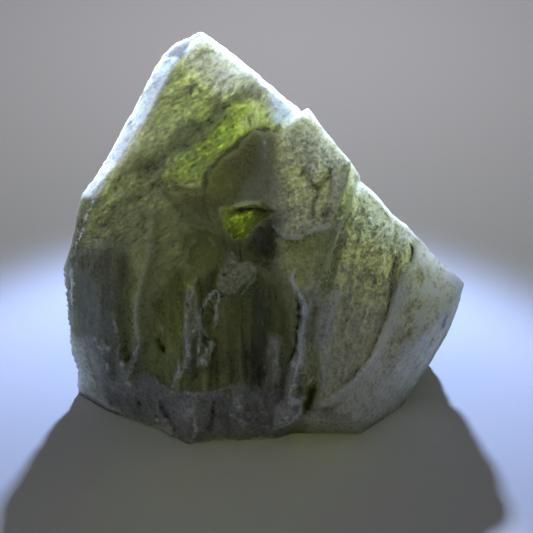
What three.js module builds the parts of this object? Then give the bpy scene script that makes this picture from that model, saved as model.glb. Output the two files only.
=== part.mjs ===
// A fragment of moldavite, the bottle-green natural glass: one solid stone that stands on a
// broken, flat base. Millimetres, +Z up, origin under the middle of the stone, on the surface
// that it stands on. The front of the stone faces -Y.
//
// The stone is two wedges of glass grown into one. Each wedge is a set of flat faces, and the
// front is worked by hollows, plates, crests and grooves, which are drawn over it as the eye
// meets it: "across" to the right, "up" and "near", towards the viewer, all from the stone's
// core. The field below is negative inside the glass, and its zero level is the surface.

import * as THREE from 'three';

// Driving dimensions, in millimetres and degrees
const CELL = 0.88; // size of the cells that the surface is meshed with
const SIGHT_TILT = 30; // how far the eye that the front is drawn for looks down
const CORE = { x: 0.1, y: -0.1, z: 13 }; // the point that every distance is measured from
const EDGE_ROUNDING = 0.06; // how soft the edge between two faces is
const SEAM_ROUNDING = 0.15; // how soft the seam between the two wedges is
const HALF_WIDTH = 17.5; // of the space that the stone is found in
const HALF_DEPTH = 11;
const HEIGHT = 33.5;
const BASE_SNAP = 0.06; // points that are this close to the base's plane lie in it

const radians = THREE.MathUtils.degToRad;
const smoothstep = THREE.MathUtils.smoothstep;
const lerp = THREE.MathUtils.lerp;

const SIGHT_SIN = Math.sin(radians(SIGHT_TILT));
const SIGHT_COS = Math.cos(radians(SIGHT_TILT));

// A point or direction of the part's frame as [across, up, near]
function seen(x, y, z) {
  return [x, y * SIGHT_SIN + z * SIGHT_COS, z * SIGHT_SIN - y * SIGHT_COS];
}

// The corners of each wedge's outline as the eye meets them, [across, up, near], against the
// clock. From each corner to the next runs an edge, where a bevel of the front that leans by
// "front" degrees meets a bevel of the back that leans by "back" degrees. Where "lip" is set,
// the front bevel is worked like the broad faces of the front.
const MAIN_OUTLINE = [
  { name: 'top right', at: [1.2, 13.3, 4.8], front: 9, back: 20 },
  { name: 'apex right', at: [-5.2, 17.3, 4.4], front: 10, back: 25 },
  { name: 'apex', at: [-6.2, 17.7, 3.1], front: 27, back: 25 },
  { name: 'left band', at: [-8.7, 16.2, 2.3], front: 26, back: 34 },
  { name: 'left shoulder', at: [-14.9, 4.8, 1.2], front: 15, back: 36 },
  { name: 'left side', at: [-16.4, -2.8, -0.4], front: 30, back: 22 },
  { name: 'left heel', at: [-15.5, -11.2, -6.6], front: 44, back: 10, lip: true },
  { name: 'left toe', at: [-12.6, -12.9, -3.8], front: 46, back: 10, lip: true },
  { name: 'front toe', at: [-6.2, -15.4, 0.6], front: 48, back: 10, lip: true },
  { name: 'front right toe', at: [0.4, -15.1, 0.1], front: 50, back: 10, lip: true },
  { name: 'rib foot', at: [3.7, -14.0, -1.7], front: 24, back: 0 },
  { name: 'rib shoulder', at: [6.8, 6.5, 5.0], front: 12, back: 16 },
  { name: 'rib top', at: [2.6, 12.2, 4.9], front: 10, back: 16 },
];
const RIGHT_OUTLINE = [
  { name: 'right slope', at: [16.1, -2.5, 0.2], front: 9, back: 24 },
  { name: 'buried top', at: [-3.0, 15.4, 8.2], front: 0, back: 0 },
  { name: 'buried foot', at: [-10, -14.5, -1.5], front: 19, back: 10 },
  { name: 'right toe', at: [7.6, -14.7, -1.0], front: 26, back: 10 },
  { name: 'right heel', at: [10.9, -12.5, -4.3], front: 7, back: 3 },
  { name: 'right edge', at: [14.4, -6.7, -2.0], front: 8, back: 8 },
];

// The broad faces of the front: how near each is in front of the core, and how much nearer it
// gets for each millimetre across and up
const MAIN_FRONT = [
  { name: 'upper face', near: 6.2, across: 0.085, up: 0.03 },
  { name: 'lower face', near: 7.6, across: 0.02, up: 0.32 },
  { name: 'left lobe', near: 12.8, across: 0.72, up: 0.1 },
];
const RIGHT_FRONT = [
  { name: 'right panel', near: 6.9, across: -0.33, up: 0.05 },
  { name: 'right panel foot', near: 9.4, across: -0.2, up: 0.46 },
  { name: 'buried face', near: 0.8, across: 1.2, up: 0 },
];

// The broad faces of the back and the base, by the way they face and one point on them, in the
// part's own frame
const BACK = [
  { name: 'back', facing: [0.05, 0.985, 0.165], through: [0, 8.4, 16] },
  { name: 'back foot', facing: [-0.05, 0.93, -0.36], through: [0, 8.5, 6] },
  { name: 'back left', facing: [-0.68, 0.71, 0.18], through: [-10.4, 5.8, 13] },
  { name: 'back right', facing: [0.6, 0.78, 0.16], through: [9.6, 5.6, 12] },
  { name: 'back top', facing: [-0.12, 0.86, 0.5], through: [-4.4, 5.4, 28] },
];
const BASE = { name: 'base', facing: [0, 0, -1], through: [0, 0, 0] };

// What the front is worked with, in millimetres across and up from the core
// Broad hollows and swellings, by their half sizes, turn and height
const SWELLS = [
  { name: 'arch hollow', at: [-3.4, 8.6], half: [4.6, 3.0], turn: 35, height: -1.25 },
  { name: 'lip at the top right', at: [0.6, 12.4], half: [3.4, 1.4], turn: -38, height: 0.35 },
  { name: 'valley', at: [-5.6, -4.6], half: [4.6, 6.4], turn: -6, height: -2.1 },
  { name: 'channel', at: [-0.9, -5.2], half: [2.0, 5.4], turn: 4, height: -1.7 },
  { name: 'left lobe', at: [-13.6, -4.4], half: [2.6, 6.2], turn: 4, height: 0.55 },
  { name: 'ripple', at: [-7.6, 9.6], half: [6.4, 0.7], turn: 38, height: 0.35 },
  { name: 'upper ripple', at: [-6.2, 13.0], half: [3.4, 0.6], turn: 30, height: 0.25 },
  { name: 'pits of the rib', at: [4.1, 4.6], half: [1.1, 1.9], turn: -8, height: -0.6 },
  { name: 'lump of the lip', at: [-2.1, -12.4], half: [0.9, 1.2], turn: 0, height: 0.5 },
  { name: 'left lump of the lip', at: [-6.4, -13.7], half: [1.0, 1.3], turn: 10, height: 0.45 },
  { name: 'right lump of the lip', at: [1.1, -13.1], half: [1.6, 1.1], turn: 0, height: 0.4 },
  { name: 'right panel trough', at: [7.4, -3.0], half: [2.0, 6.6], turn: -12, height: -0.5 },
];

// Flat-topped plates with a sharp edge, and how high each stands over the face it lies on
const PLATES = [
  {
    name: 'wing of the hood', level: 0.45, edge: 0.5,
    line: [
      [-8.1, 4.8], [-6.4, 5.1], [-4.4, 4.9], [-3.6, 3.4], [-3.9, 1.6], [-5.5, 2.1], [-6.5, 3.1],
    ],
  },
  {
    name: 'hood', level: 0.75, edge: 0.18,
    line: [
      [-4.8, 4.6], [-4.6, 6.2], [-3.4, 7.5], [-2.3, 8.2], [-1.6, 9.1], [-1.0, 9.6], [0.0, 9.4],
      [1.2, 9.3], [1.9, 10.0], [3.4, 11.6], [5.6, 9.6], [7.4, 6.0], [6.6, 3.2], [5.8, 1.9],
      [4.7, 1.8], [3.1, 1.4], [2.8, 1.0], [1.2, 1.1], [0.4, 2.1], [0.1, 2.6], [0.6, 3.2],
      [-0.4, 3.8], [-2.6, 3.7], [-3.3, 3.2], [-3.9, 1.6], [-4.6, 3.0],
    ],
  },
  {
    name: 'pool', level: -3.3, edge: 0.35,
    line: [
      [-3.3, 3.1], [-2.6, 3.7], [-0.4, 3.8], [0.3, 3.2], [-0.4, 2.7], [-1.2, 2.1], [-1.8, 1.3],
      [-2.5, 1.2], [-3.1, 1.9],
    ],
  },
  {
    name: 'white plate', level: -1.1, edge: 0.2,
    line: [
      [-3.4, 0.2], [-2.1, -0.8], [-1.3, -0.7], [-0.7, -1.3], [-1.2, -2.3], [-1.9, -2.7],
      [-2.5, -3.4], [-3.6, -3.3], [-4.2, -2.7], [-3.9, -1.4],
    ],
  },
  {
    name: 'hanging strip', level: -0.9, edge: 0.25,
    line: [
      [-6.5, -2.6], [-5.6, -2.2], [-5.3, -3.8], [-5.3, -5.4], [-5.0, -7.0], [-4.5, -7.8],
      [-4.5, -8.9], [-5.3, -9.2], [-6.1, -10.2], [-6.7, -9.6], [-6.5, -7.0], [-6.6, -4.6],
    ],
  },
];

// Narrow crests (and, where the height is negative, grooves) along a line
const CRESTS = [
  {
    name: 'spine', height: 0.9, half: 0.55,
    line: [[2.0, -2.5], [2.9, -3.9], [2.9, -6.0], [2.6, -8.4], [2.0, -10.8], [1.9, -11.4]],
  },
  {
    name: 'lip of the right panel', height: 0.7, half: 0.5,
    line: [[11.6, -0.8], [10.4, -3.9], [8.8, -7.9], [7.2, -9.8], [4.2, -12.6]],
  },
  {
    name: 'left thin rib', height: 0.55, half: 0.4,
    line: [[-9.1, 3.2], [-9.4, -0.3], [-10.4, -3.9], [-10.5, -6.0], [-10.1, -7.3], [-11.2, -10.2]],
  },
  {
    name: 'green groove', height: -0.7, half: 0.4,
    line: [[6.1, 1.1], [4.7, -2.7], [3.6, -5.4], [3.6, -7.1], [3.8, -10.2]],
  },
  {
    name: 'groove of the lip', height: -0.6, half: 0.4,
    line: [[11.4, 1.0], [11.4, -0.9], [10.1, -3.0], [9.2, -6.7], [7.3, -9.5], [5.6, -11.0]],
  },
  {
    name: 'groove of the lobe', height: -0.9, half: 0.6,
    line: [[-11.2, -0.8], [-11.1, -4.0], [-11.2, -7.8], [-10.8, -8.8]],
  },
  { name: 'crack', height: -2.2, half: 0.45, line: [[3.8, -10.6], [3.1, -12.6]] },
  { name: 'dark hole', height: -1.2, half: 1.1, line: [[0.0, 2.0], [-0.4, -0.6]] },
];

// Bowl-shaped scars on the back and the sides, each cut by a ball
const SCARS = [
  { name: 'high scar of the back', at: [-2.0, 18.4, 25.6], radius: 12.6 },
  { name: 'middle scar of the back', at: [4.2, 16.9, 14.8], radius: 9.5 },
  { name: 'low scar of the back', at: [-6.4, 15.9, 6.5], radius: 8.8 },
  { name: 'scar of the back right', at: [15.6, 14.0, 17.5], radius: 11.3 },
  { name: 'scar of the back left', at: [-16.8, 10.2, 17.2], radius: 9.4 },
  { name: 'low scar of the back left', at: [-15.4, 9.6, 5.2], radius: 6.9 },
  { name: 'scar of the right side', at: [16.9, 8.6, 6.5], radius: 5.2 },
];

function dot(a, b) {
  return a[0] * b[0] + a[1] * b[1] + a[2] * b[2];
}

// A face as its outward direction and its distance from the core, both as the eye meets them
function face(direction, through) {
  const length = Math.hypot(...direction);
  const facing = direction.map((part) => part / length);
  return { facing, reach: dot(facing, through) };
}

// The two bevels of the outline's edge from one corner to the next
function bevels({ at, front, back }, { at: next }) {
  const along = new THREE.Vector3(...next).sub(new THREE.Vector3(...at)).normalize();
  const out = new THREE.Vector3(along.y, -along.x, 0).normalize();
  const near = new THREE.Vector3().crossVectors(out, along);
  return [front, -back].map((lean) => {
    const facing = out.clone().multiplyScalar(Math.cos(radians(lean)));
    return face(facing.addScaledVector(near, Math.sin(radians(lean))).toArray(), at);
  });
}

function frontFace({ near, across, up }) {
  return face([-across, -up, 1], [0, 0, near]);
}

function worldFace({ facing, through }) {
  const [x, y, z] = through;
  return face(seen(...facing), seen(x - CORE.x, y - CORE.y, z - CORE.z));
}

function wedge(outline, faces) {
  const front = faces.map(frontFace);
  const rest = [...BACK, BASE].map(worldFace);
  outline.forEach((corner, n) => {
    const [ahead, behind] = bevels(corner, outline[(n + 1) % outline.length]);
    (corner.lip ? front : rest).push(ahead);
    rest.push(behind);
  });
  return { front, rest };
}

const WEDGES = [wedge(MAIN_OUTLINE, MAIN_FRONT), wedge(RIGHT_OUTLINE, RIGHT_FRONT)];

// The distance past the farthest of some faces, rounded where two are equally far
function pastFaces(faces, point) {
  const past = faces.map(({ facing, reach }) => dot(facing, point) - reach);
  const most = Math.max(...past);
  const sum = past.reduce((total, each) => total + Math.exp((each - most) / EDGE_ROUNDING), 0);
  return most + EDGE_ROUNDING * Math.log(sum);
}

// Distance from a point to a line of points, and how far along the line it is, from 0 to 1
function toLine(line, across, up) {
  let nearest = Infinity;
  let along = 0;
  const steps = line.length - 1;
  for (let i = 0; i < steps; i += 1) {
    const [ax, ay] = line[i];
    const [dx, dy] = [line[i + 1][0] - ax, line[i + 1][1] - ay];
    const share = THREE.MathUtils.clamp(
      ((across - ax) * dx + (up - ay) * dy) / (dx * dx + dy * dy), 0, 1);
    const away = Math.hypot(across - ax - share * dx, up - ay - share * dy);
    if (away < nearest) {
      nearest = away;
      along = (i + share) / steps;
    }
  }
  return { away: nearest, along };
}

// Distance from a closed outline, negative inside it
function toOutline(line, across, up) {
  let inside = false;
  for (let i = 0, j = line.length - 1; i < line.length; j = i, i += 1) {
    const [ax, ay] = line[i];
    const [bx, by] = line[j];
    if (ay > up !== by > up && across < ((bx - ax) * (up - ay)) / (by - ay) + ax) {
      inside = !inside;
    }
  }
  const { away } = toLine([...line, line[0]], across, up);
  return inside ? -away : away;
}

// How high the worked front stands over its flat faces
function relief(across, up) {
  let height = 0;
  for (const { at, half, turn, height: rise } of SWELLS) {
    const [cos, sin] = [Math.cos(radians(turn)), Math.sin(radians(turn))];
    const [dx, dy] = [across - at[0], up - at[1]];
    const long = (dx * cos + dy * sin) / half[0];
    const wide = (dy * cos - dx * sin) / half[1];
    height += rise * Math.exp(-(long * long + wide * wide));
  }
  for (const { line, level, edge } of PLATES) {
    const share = 1 - smoothstep(toOutline(line, across, up), -edge, edge);
    height = lerp(height, level, share);
  }
  for (const { line, half, height: rise } of CRESTS) {
    const { away, along } = toLine(line, across, up);
    const fade = smoothstep(along, -0.15, 0.15) * (1 - smoothstep(along, 0.85, 1.15));
    height += rise * fade * Math.exp(-((away / half) ** 2));
  }
  return height;
}

// A number from -1 to 1 that is fixed for each point of a lattice
function latticeValue(i, j, k) {
  const wave = Math.sin(i * 127.1 + j * 311.7 + k * 74.7) * 43758.5453;
  return 2 * (wave - Math.floor(wave)) - 1;
}

// Those numbers, blended smoothly between the points of the lattice
function noise(x, y, z) {
  const [i, j, k] = [Math.floor(x), Math.floor(y), Math.floor(z)];
  const [u, v, w] = [smoothstep(x - i, 0, 1), smoothstep(y - j, 0, 1), smoothstep(z - k, 0, 1)];
  const along = (b, c) =>
    lerp(latticeValue(i, j + b, k + c), latticeValue(i + 1, j + b, k + c), u);
  return lerp(lerp(along(0, 0), along(1, 0), v), lerp(along(0, 1), along(1, 1), v), w);
}

// The slow unevenness of a natural surface
function unevenness(x, y, z) {
  return 0.3 * noise(x / 4.6, y / 4.6, z / 5.8) + 0.13 * noise(x / 1.7, y / 1.7, z / 2.2);
}

// The field of the whole stone at a point of the part's frame
function field(x, y, z) {
  const point = seen(x - CORE.x, y - CORE.y, z - CORE.z);
  const [across, up] = point;
  const worked = relief(across, up);
  const [main, right] = WEDGES.map(({ front, rest }) => {
    const ahead = pastFaces(front, point);
    const aside = pastFaces(rest, point);
    const share = smoothstep(ahead - aside, -1.4, 0.3);
    return Math.max(ahead, aside) - worked * share;
  });
  const blend = THREE.MathUtils.clamp(0.5 + (0.5 * (right - main)) / SEAM_ROUNDING, 0, 1);
  let past = lerp(right, main, blend) - SEAM_ROUNDING * blend * (1 - blend);
  for (const { at, radius } of SCARS) {
    past = Math.max(past, radius - Math.hypot(x - at[0], y - at[1], z - at[2]));
  }
  return Math.max(past - unevenness(x, y, z) * smoothstep(z, 0.3, 2.0), -z);
}

// The corners of a cell, its edges as pairs of corners, and its sides as lists of edges
const CORNERS = [0, 1, 2, 3, 4, 5, 6, 7].map((k) => [k & 1, (k >> 1) & 1, (k >> 2) & 1]);
const EDGES = CORNERS.flatMap((_, a) =>
  [1, 2, 4].filter((bit) => !(a & bit)).map((bit) => [a, a | bit]));
const SIDES = [0, 1, 2].flatMap((axis) => [0, 1].map((side) =>
  EDGES.map((_, n) => n).filter((n) => EDGES[n].every((c) => CORNERS[c][axis] === side))));

// Sorts the edges that the surface crosses into the sheets of surface that pass the cell, so
// that two sheets in one cell stay apart
function sheetsOf(inside) {
  const crossed = EDGES.map(([a, b]) => inside[a] !== inside[b]);
  const sheet = EDGES.map((_, n) => n);
  for (const side of SIDES) {
    const cut = side.filter((n) => crossed[n]);
    for (const a of cut) {
      for (const b of cut) {
        const shared = EDGES[a].find((corner) => EDGES[b].includes(corner));
        if (a < b && (cut.length === 2 || (shared !== undefined && inside[shared]))) {
          const [from, to] = [sheet[a], sheet[b]];
          sheet.forEach((value, n) => { sheet[n] = value === from ? to : value; });
        }
      }
    }
  }
  const sheets = new Map();
  crossed.forEach((isCrossed, n) => {
    if (isCrossed) {
      sheets.set(sheet[n], [...(sheets.get(sheet[n]) ?? []), n]);
    }
  });
  return [...sheets.values()];
}

// Where the surface crosses between two points of opposite sign
function crossing(inside, outside) {
  let [low, high] = [inside, outside];
  let [lowValue, highValue] = [field(...low), field(...high)];
  let middle = low;
  for (let i = 0; i < 4; i += 1) {
    const share = THREE.MathUtils.clamp(lowValue / (lowValue - highValue), 0.02, 0.98);
    middle = low.map((value, k) => lerp(value, high[k], share));
    const value = field(...middle);
    if (value < 0) {
      [low, lowValue] = [middle, value];
    } else {
      [high, highValue] = [middle, value];
    }
  }
  return middle;
}

// The direction that the surface faces at a point
function facingAt([x, y, z]) {
  const step = CELL * 0.12;
  const slope = [
    field(x + step, y, z) - field(x - step, y, z),
    field(x, y + step, z) - field(x, y - step, z),
    field(x, y, z + step) - field(x, y, z - step),
  ];
  const length = Math.hypot(...slope) || 1;
  return slope.map((value) => value / length);
}

// The point of a sheet in its cell: from the middle of the crossings it moves to where the
// faces that they lie on meet, so that the edges between faces stay sharp
function settle(found, low) {
  const point = [0, 1, 2].map(
    (axis) => found.reduce((sum, { at }) => sum + at[axis], 0) / found.length);
  for (let pass = 0; pass < 24; pass += 1) {
    const push = [0, 0, 0];
    for (const { at, facing } of found) {
      const gap = dot(facing, at.map((value, axis) => value - point[axis]));
      facing.forEach((part, axis) => { push[axis] += (part * gap) / found.length; });
    }
    push.forEach((step, axis) => {
      const moved = point[axis] + step;
      point[axis] = THREE.MathUtils.clamp(moved, low[axis] + 0.04, low[axis] + CELL - 0.04);
    });
  }
  return point[2] < BASE_SNAP ? [point[0], point[1], 0] : point;
}

// Meshes the field: one point for each sheet of surface in each cell, joined across the edges
// that the surface crosses
function meshOfField() {
  const space = [2 * HALF_WIDTH, 2 * HALF_DEPTH, HEIGHT];
  const counts = space.map((size) => Math.ceil(size / CELL) + 2);
  const start = [-HALF_WIDTH - CELL, -HALF_DEPTH - CELL, -CELL * 0.5 - CELL];
  const strides = [1, counts[0] + 1, (counts[0] + 1) * (counts[1] + 1)];
  const place = (i, j, k) => [start[0] + i * CELL, start[1] + j * CELL, start[2] + k * CELL];
  const index = (i, j, k) => i * strides[0] + j * strides[1] + k * strides[2];
  const values = new Float64Array((counts[0] + 1) * (counts[1] + 1) * (counts[2] + 1));
  for (let k = 0; k <= counts[2]; k += 1) {
    for (let j = 0; j <= counts[1]; j += 1) {
      for (let i = 0; i <= counts[0]; i += 1) {
        values[index(i, j, k)] = field(...place(i, j, k));
      }
    }
  }

  const crossings = new Map();
  const crossingOf = (from, to, fromPlace, toPlace) => {
    const key = `${Math.min(from, to)}-${Math.max(from, to)}`;
    if (!crossings.has(key)) {
      const ends = values[from] < 0 ? [fromPlace, toPlace] : [toPlace, fromPlace];
      const at = crossing(...ends);
      crossings.set(key, { at, facing: facingAt(at) });
    }
    return crossings.get(key);
  };

  const positions = [];
  const pointOf = new Map();
  for (let k = 0; k < counts[2]; k += 1) {
    for (let j = 0; j < counts[1]; j += 1) {
      for (let i = 0; i < counts[0]; i += 1) {
        const corner = CORNERS.map(([a, b, c]) => [i + a, j + b, k + c]);
        const inside = corner.map((steps) => values[index(...steps)] < 0);
        if (inside.every((value) => value === inside[0])) {
          continue;
        }
        const low = place(i, j, k);
        for (const sheet of sheetsOf(inside)) {
          const found = sheet.map((n) => {
            const [a, b] = EDGES[n].map((c) => corner[c]);
            return crossingOf(index(...a), index(...b), place(...a), place(...b));
          });
          for (const n of sheet) {
            pointOf.set(index(i, j, k) * EDGES.length + n, positions.length / 3);
          }
          positions.push(...settle(found, low));
        }
      }
    }
  }

  const triangles = [];
  const at = (n) => positions.slice(3 * n, 3 * n + 3);
  const apart = (a, b) => Math.hypot(...at(a).map((value, axis) => value - at(b)[axis]));
  for (let axis = 0; axis < 3; axis += 1) {
    const [u, v] = [(axis + 1) % 3, (axis + 2) % 3];
    const around = [[0, 0], [1, 0], [1, 1], [0, 1]].map(([du, dv]) => {
      const corner = (du << u) | (dv << v);
      const edge = EDGES.findIndex(([a, b]) => a === corner && b === (corner | (1 << axis)));
      return { back: du * strides[u] + dv * strides[v], edge };
    });
    for (let node = 0; node < values.length - strides[axis]; node += 1) {
      const [here, next] = [values[node] < 0, values[node + strides[axis]] < 0];
      if (here === next) {
        continue;
      }
      const points = around.map(({ back, edge }) =>
        pointOf.get((node - back) * EDGES.length + edge));
      const [a, b, c, d] = here ? points : points.reverse();
      if (apart(a, c) < apart(b, d)) {
        triangles.push(a, b, c, a, c, d);
      } else {
        triangles.push(a, b, d, b, c, d);
      }
    }
  }
  const geometry = new THREE.BufferGeometry();
  geometry.setAttribute('position', new THREE.Float32BufferAttribute(positions, 3));
  geometry.setIndex(triangles);
  geometry.computeVertexNormals();
  return geometry;
}

const glass = new THREE.MeshStandardMaterial({ color: 0x5f6e35, roughness: 0.45, metalness: 0 });
const stone = new THREE.Mesh(meshOfField(), glass);
stone.name = 'stone';

const moldavite = new THREE.Group();
moldavite.name = 'moldavite';
moldavite.add(stone);

export default moldavite;
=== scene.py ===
"""A fragment of moldavite, a bottle-green natural glass, lit from behind on a sheet of paper.

The stone's form repeats the model's own: two wedges of glass grown into one, each a set of flat
faces, with a front that is worked by hollows, plates, crests and grooves. Over that form lie the
things that only a fine surface can show: the broken texture of each area of the front, its thin
lips, ribs, cracks and pits, and the pitted and frosted skin of the sides and the back. Form and
texture are worked out in millimetres, and the finished mesh is in metres.
"""

import logging
import math
from collections.abc import Callable
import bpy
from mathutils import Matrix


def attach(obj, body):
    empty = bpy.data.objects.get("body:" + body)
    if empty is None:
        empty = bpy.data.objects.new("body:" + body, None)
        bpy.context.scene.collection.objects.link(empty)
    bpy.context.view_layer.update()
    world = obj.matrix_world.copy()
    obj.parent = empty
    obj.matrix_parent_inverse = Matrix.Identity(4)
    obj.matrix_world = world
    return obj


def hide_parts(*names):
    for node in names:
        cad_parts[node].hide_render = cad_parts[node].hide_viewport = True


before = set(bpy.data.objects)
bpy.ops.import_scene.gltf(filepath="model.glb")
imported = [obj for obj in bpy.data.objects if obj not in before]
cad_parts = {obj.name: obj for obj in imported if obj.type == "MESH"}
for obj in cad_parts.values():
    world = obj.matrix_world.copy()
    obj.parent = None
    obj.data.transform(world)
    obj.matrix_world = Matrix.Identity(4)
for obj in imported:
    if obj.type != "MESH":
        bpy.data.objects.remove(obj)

from concurrent.futures import ThreadPoolExecutor
from dataclasses import dataclass
from enum import Enum

import bpy
import numpy as np
from mathutils import Vector

Array = np.ndarray
Point2 = tuple[float, float]
Point3 = tuple[float, float, float]
Colour = tuple[float, float, float]
Span = tuple[float, float]
Socket = bpy.types.NodeSocket
Number = float | bpy.types.NodeSocket

log = logging.getLogger("moldavite")

MILLIMETRE = 0.001
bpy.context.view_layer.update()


def smoothstep(value: Array, low: float, high: float) -> Array:
    """Returns values eased from 0, which they leave at low, to 1, which they reach at high."""
    share = np.clip((value - low) / (high - low), 0, 1)
    return share * share * (3 - 2 * share)


def lerp(start: Array, end: Array, share: Array) -> Array:
    """Returns the values between start and end at a share of the way."""
    return start + (end - start) * share


def unit(vectors: Array) -> Array:
    """Returns the vectors at a length of 1."""
    return vectors / np.maximum(np.linalg.norm(vectors, axis=-1, keepdims=True), 1e-12)


def scrambled(steps: list[Array], seed: int) -> Array:
    """Gives each point of a lattice a fixed number.

    Args:
        steps: The whole-number coordinates of the points, one array for each axis.
        seed: Picks one of many such sets of numbers.

    Returns:
        Numbers from 0 to 1.
    """
    mixed = np.full(steps[0].shape, (seed * 2654435761 + 97) & 0xFFFFFFFF, np.uint32)
    for step in steps:
        mixed ^= step.astype(np.int64).astype(np.uint32)
        mixed *= np.uint32(0x85EBCA6B)
        mixed ^= mixed >> np.uint32(13)
        mixed *= np.uint32(0xC2B2AE35)
        mixed ^= mixed >> np.uint32(16)
    return mixed.astype(np.float64) / 0xFFFFFFFF


def blended(axes: list[Array], number_at: Callable[[list[Array]], Array]) -> Array:
    """Blends the numbers of a lattice smoothly between its points.

    Args:
        axes: The coordinates, one array for each axis, in lattice steps.
        number_at: Gives the numbers of points of the lattice.

    Returns:
        The blended numbers.
    """
    low = [np.floor(axis) for axis in axes]
    share = [smoothstep(axis - start, 0, 1) for axis, start in zip(axes, low)]
    total = np.zeros_like(axes[0])
    for corner in range(1 << len(axes)):
        bits = [(corner >> n) & 1 for n in range(len(axes))]
        weight = 1.0
        for bit, part in zip(bits, share):
            weight = weight * (part if bit else 1 - part)
        total += weight * number_at([start + bit for start, bit in zip(low, bits)])
    return total


def soft_noise(axes: list[Array], seed: int) -> Array:
    """Returns fixed random numbers from -1 to 1, blended between the points of a lattice."""
    return 2 * blended(axes, lambda steps: scrambled(steps, seed)) - 1


def layered_noise(axes: list[Array], seed: int, layers: int = 3) -> Array:
    """Draws soft noise in layers, each half as large and half as strong as the last.

    Args:
        axes: The coordinates, one array for each axis, in lattice steps.
        seed: Picks the numbers of the first layer.
        layers: How many layers there are.

    Returns:
        Numbers from -1 to 1.
    """
    return sum(
        soft_noise([axis * 2**n for axis in axes], seed + n) / 2**n for n in range(layers)
    ) / (2 - 0.5 ** (layers - 1))


def cell_noise(axes: list[Array], seed: int) -> tuple[Array, Array, list[Array]]:
    """Finds the nearest of the points that are scattered one to a lattice cell.

    Args:
        axes: The coordinates, one array for each axis, in lattice steps.
        seed: Picks where the points lie.

    Returns:
        The distance to the nearest point, a fixed number for that point, and the way from it
        along each axis.
    """
    low = [np.floor(axis) for axis in axes]
    nearest = np.full(np.shape(axes[0]), 9.0)
    mark = np.zeros_like(nearest)
    ways = [np.zeros_like(nearest) for _ in axes]
    for neighbour in range(3 ** len(axes)):
        steps = [start + neighbour // 3**n % 3 - 1 for n, start in enumerate(low)]
        offsets = [
            axis - step - scrambled(steps, seed + 11 * n)
            for n, (axis, step) in enumerate(zip(axes, steps))
        ]
        away = np.sqrt(sum(offset * offset for offset in offsets))
        closer = away < nearest
        nearest = np.where(closer, away, nearest)
        mark = np.where(closer, scrambled(steps, seed + 71), mark)
        ways = [np.where(closer, offset, way) for offset, way in zip(offsets, ways)]
    return nearest, mark, ways


@dataclass(frozen=True)
class Sight:
    """How the eye meets the front: across to the right, up and near, from the stone's core.

    Attributes:
        tilt: How far the eye looks down, in degrees.
        core: The point of the part's frame that every distance is measured from.
    """

    tilt: float = 30.0
    core: Point3 = (0.1, -0.1, 13.0)

    def axes(self) -> Array:
        """Returns across, up and near as directions of the part's frame, one to a row."""
        sin, cos = math.sin(math.radians(self.tilt)), math.cos(math.radians(self.tilt))
        return np.array([[1, 0, 0], [0, sin, cos], [0, -cos, sin]])

    def turned(self, directions: Array) -> Array:
        """Returns directions of the part's frame as the eye meets them."""
        return directions @ self.axes().T

    def seen(self, points: Array) -> Array:
        """Returns points of the part's frame as the eye meets them."""
        return self.turned(points - np.array(self.core))

    def placed(self, seen: Array) -> Array:
        """Returns points that the eye meets in the part's frame."""
        return seen @ self.axes() + np.array(self.core)


@dataclass(frozen=True)
class Corner:
    """A corner of a wedge's outline, and the two bevels of the edge to the next corner.

    Attributes:
        at: Its place as the eye meets it.
        front: How many degrees the bevel of the front leans towards the eye.
        back: How many degrees the bevel of the back leans away from it.
        lip: Whether the front bevel is worked like the broad faces of the front.
    """

    at: Point3
    front: float
    back: float
    lip: bool = False


@dataclass(frozen=True)
class Slope:
    """A broad face of the front.

    Attributes:
        near: How near it is in front of the core.
        across: How much nearer it gets for each millimetre across.
        up: How much nearer it gets for each millimetre up.
    """

    near: float
    across: float
    up: float


@dataclass(frozen=True)
class Facet:
    """A flat face of the back or the base, in the part's own frame."""

    facing: Point3
    through: Point3


@dataclass(frozen=True)
class Scar:
    """A bowl-shaped scar, cut by a ball."""

    at: Point3
    radius: float


@dataclass(frozen=True)
class Swell:
    """A broad swelling of the front, or a hollow where its height is negative."""

    at: Point2
    half: Point2
    turn: float
    height: float

    def over(self, across: Array, up: Array) -> Array:
        """Works out the height that it adds.

        Args:
            across: The points' places across.
            up: The points' places up.

        Returns:
            The height at each point.
        """
        cos, sin = math.cos(math.radians(self.turn)), math.sin(math.radians(self.turn))
        dx, dy = across - self.at[0], up - self.at[1]
        long = (dx * cos + dy * sin) / self.half[0]
        wide = (dy * cos - dx * sin) / self.half[1]
        return self.height * np.exp(-(long * long + wide * wide))


@dataclass(frozen=True)
class Plate:
    """A flat-topped plate of the front with a sharp edge, or a sunken one."""

    level: float
    edge: float
    line: list[Point2]


@dataclass(frozen=True)
class Crest:
    """A narrow crest of the front, or a groove where its height is negative."""

    height: float
    half: float
    line: list[Point2]


def to_line(line: list[Point2], across: Array, up: Array) -> tuple[Array, Array]:
    """Measures from points to a line.

    Args:
        line: The points that the line joins.
        across: The points' places across.
        up: The points' places up.

    Returns:
        The distances to the line, and how far along the line it is nearest, from 0 to 1.
    """
    nearest = np.full(across.shape, np.inf)
    along = np.zeros(across.shape)
    steps = len(line) - 1
    for n in range(steps):
        ax, ay = line[n]
        dx, dy = line[n + 1][0] - ax, line[n + 1][1] - ay
        share = np.clip(((across - ax) * dx + (up - ay) * dy) / (dx * dx + dy * dy), 0, 1)
        away = np.hypot(across - ax - share * dx, up - ay - share * dy)
        closer = away < nearest
        nearest = np.where(closer, away, nearest)
        along = np.where(closer, (n + share) / steps, along)
    return nearest, along


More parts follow.
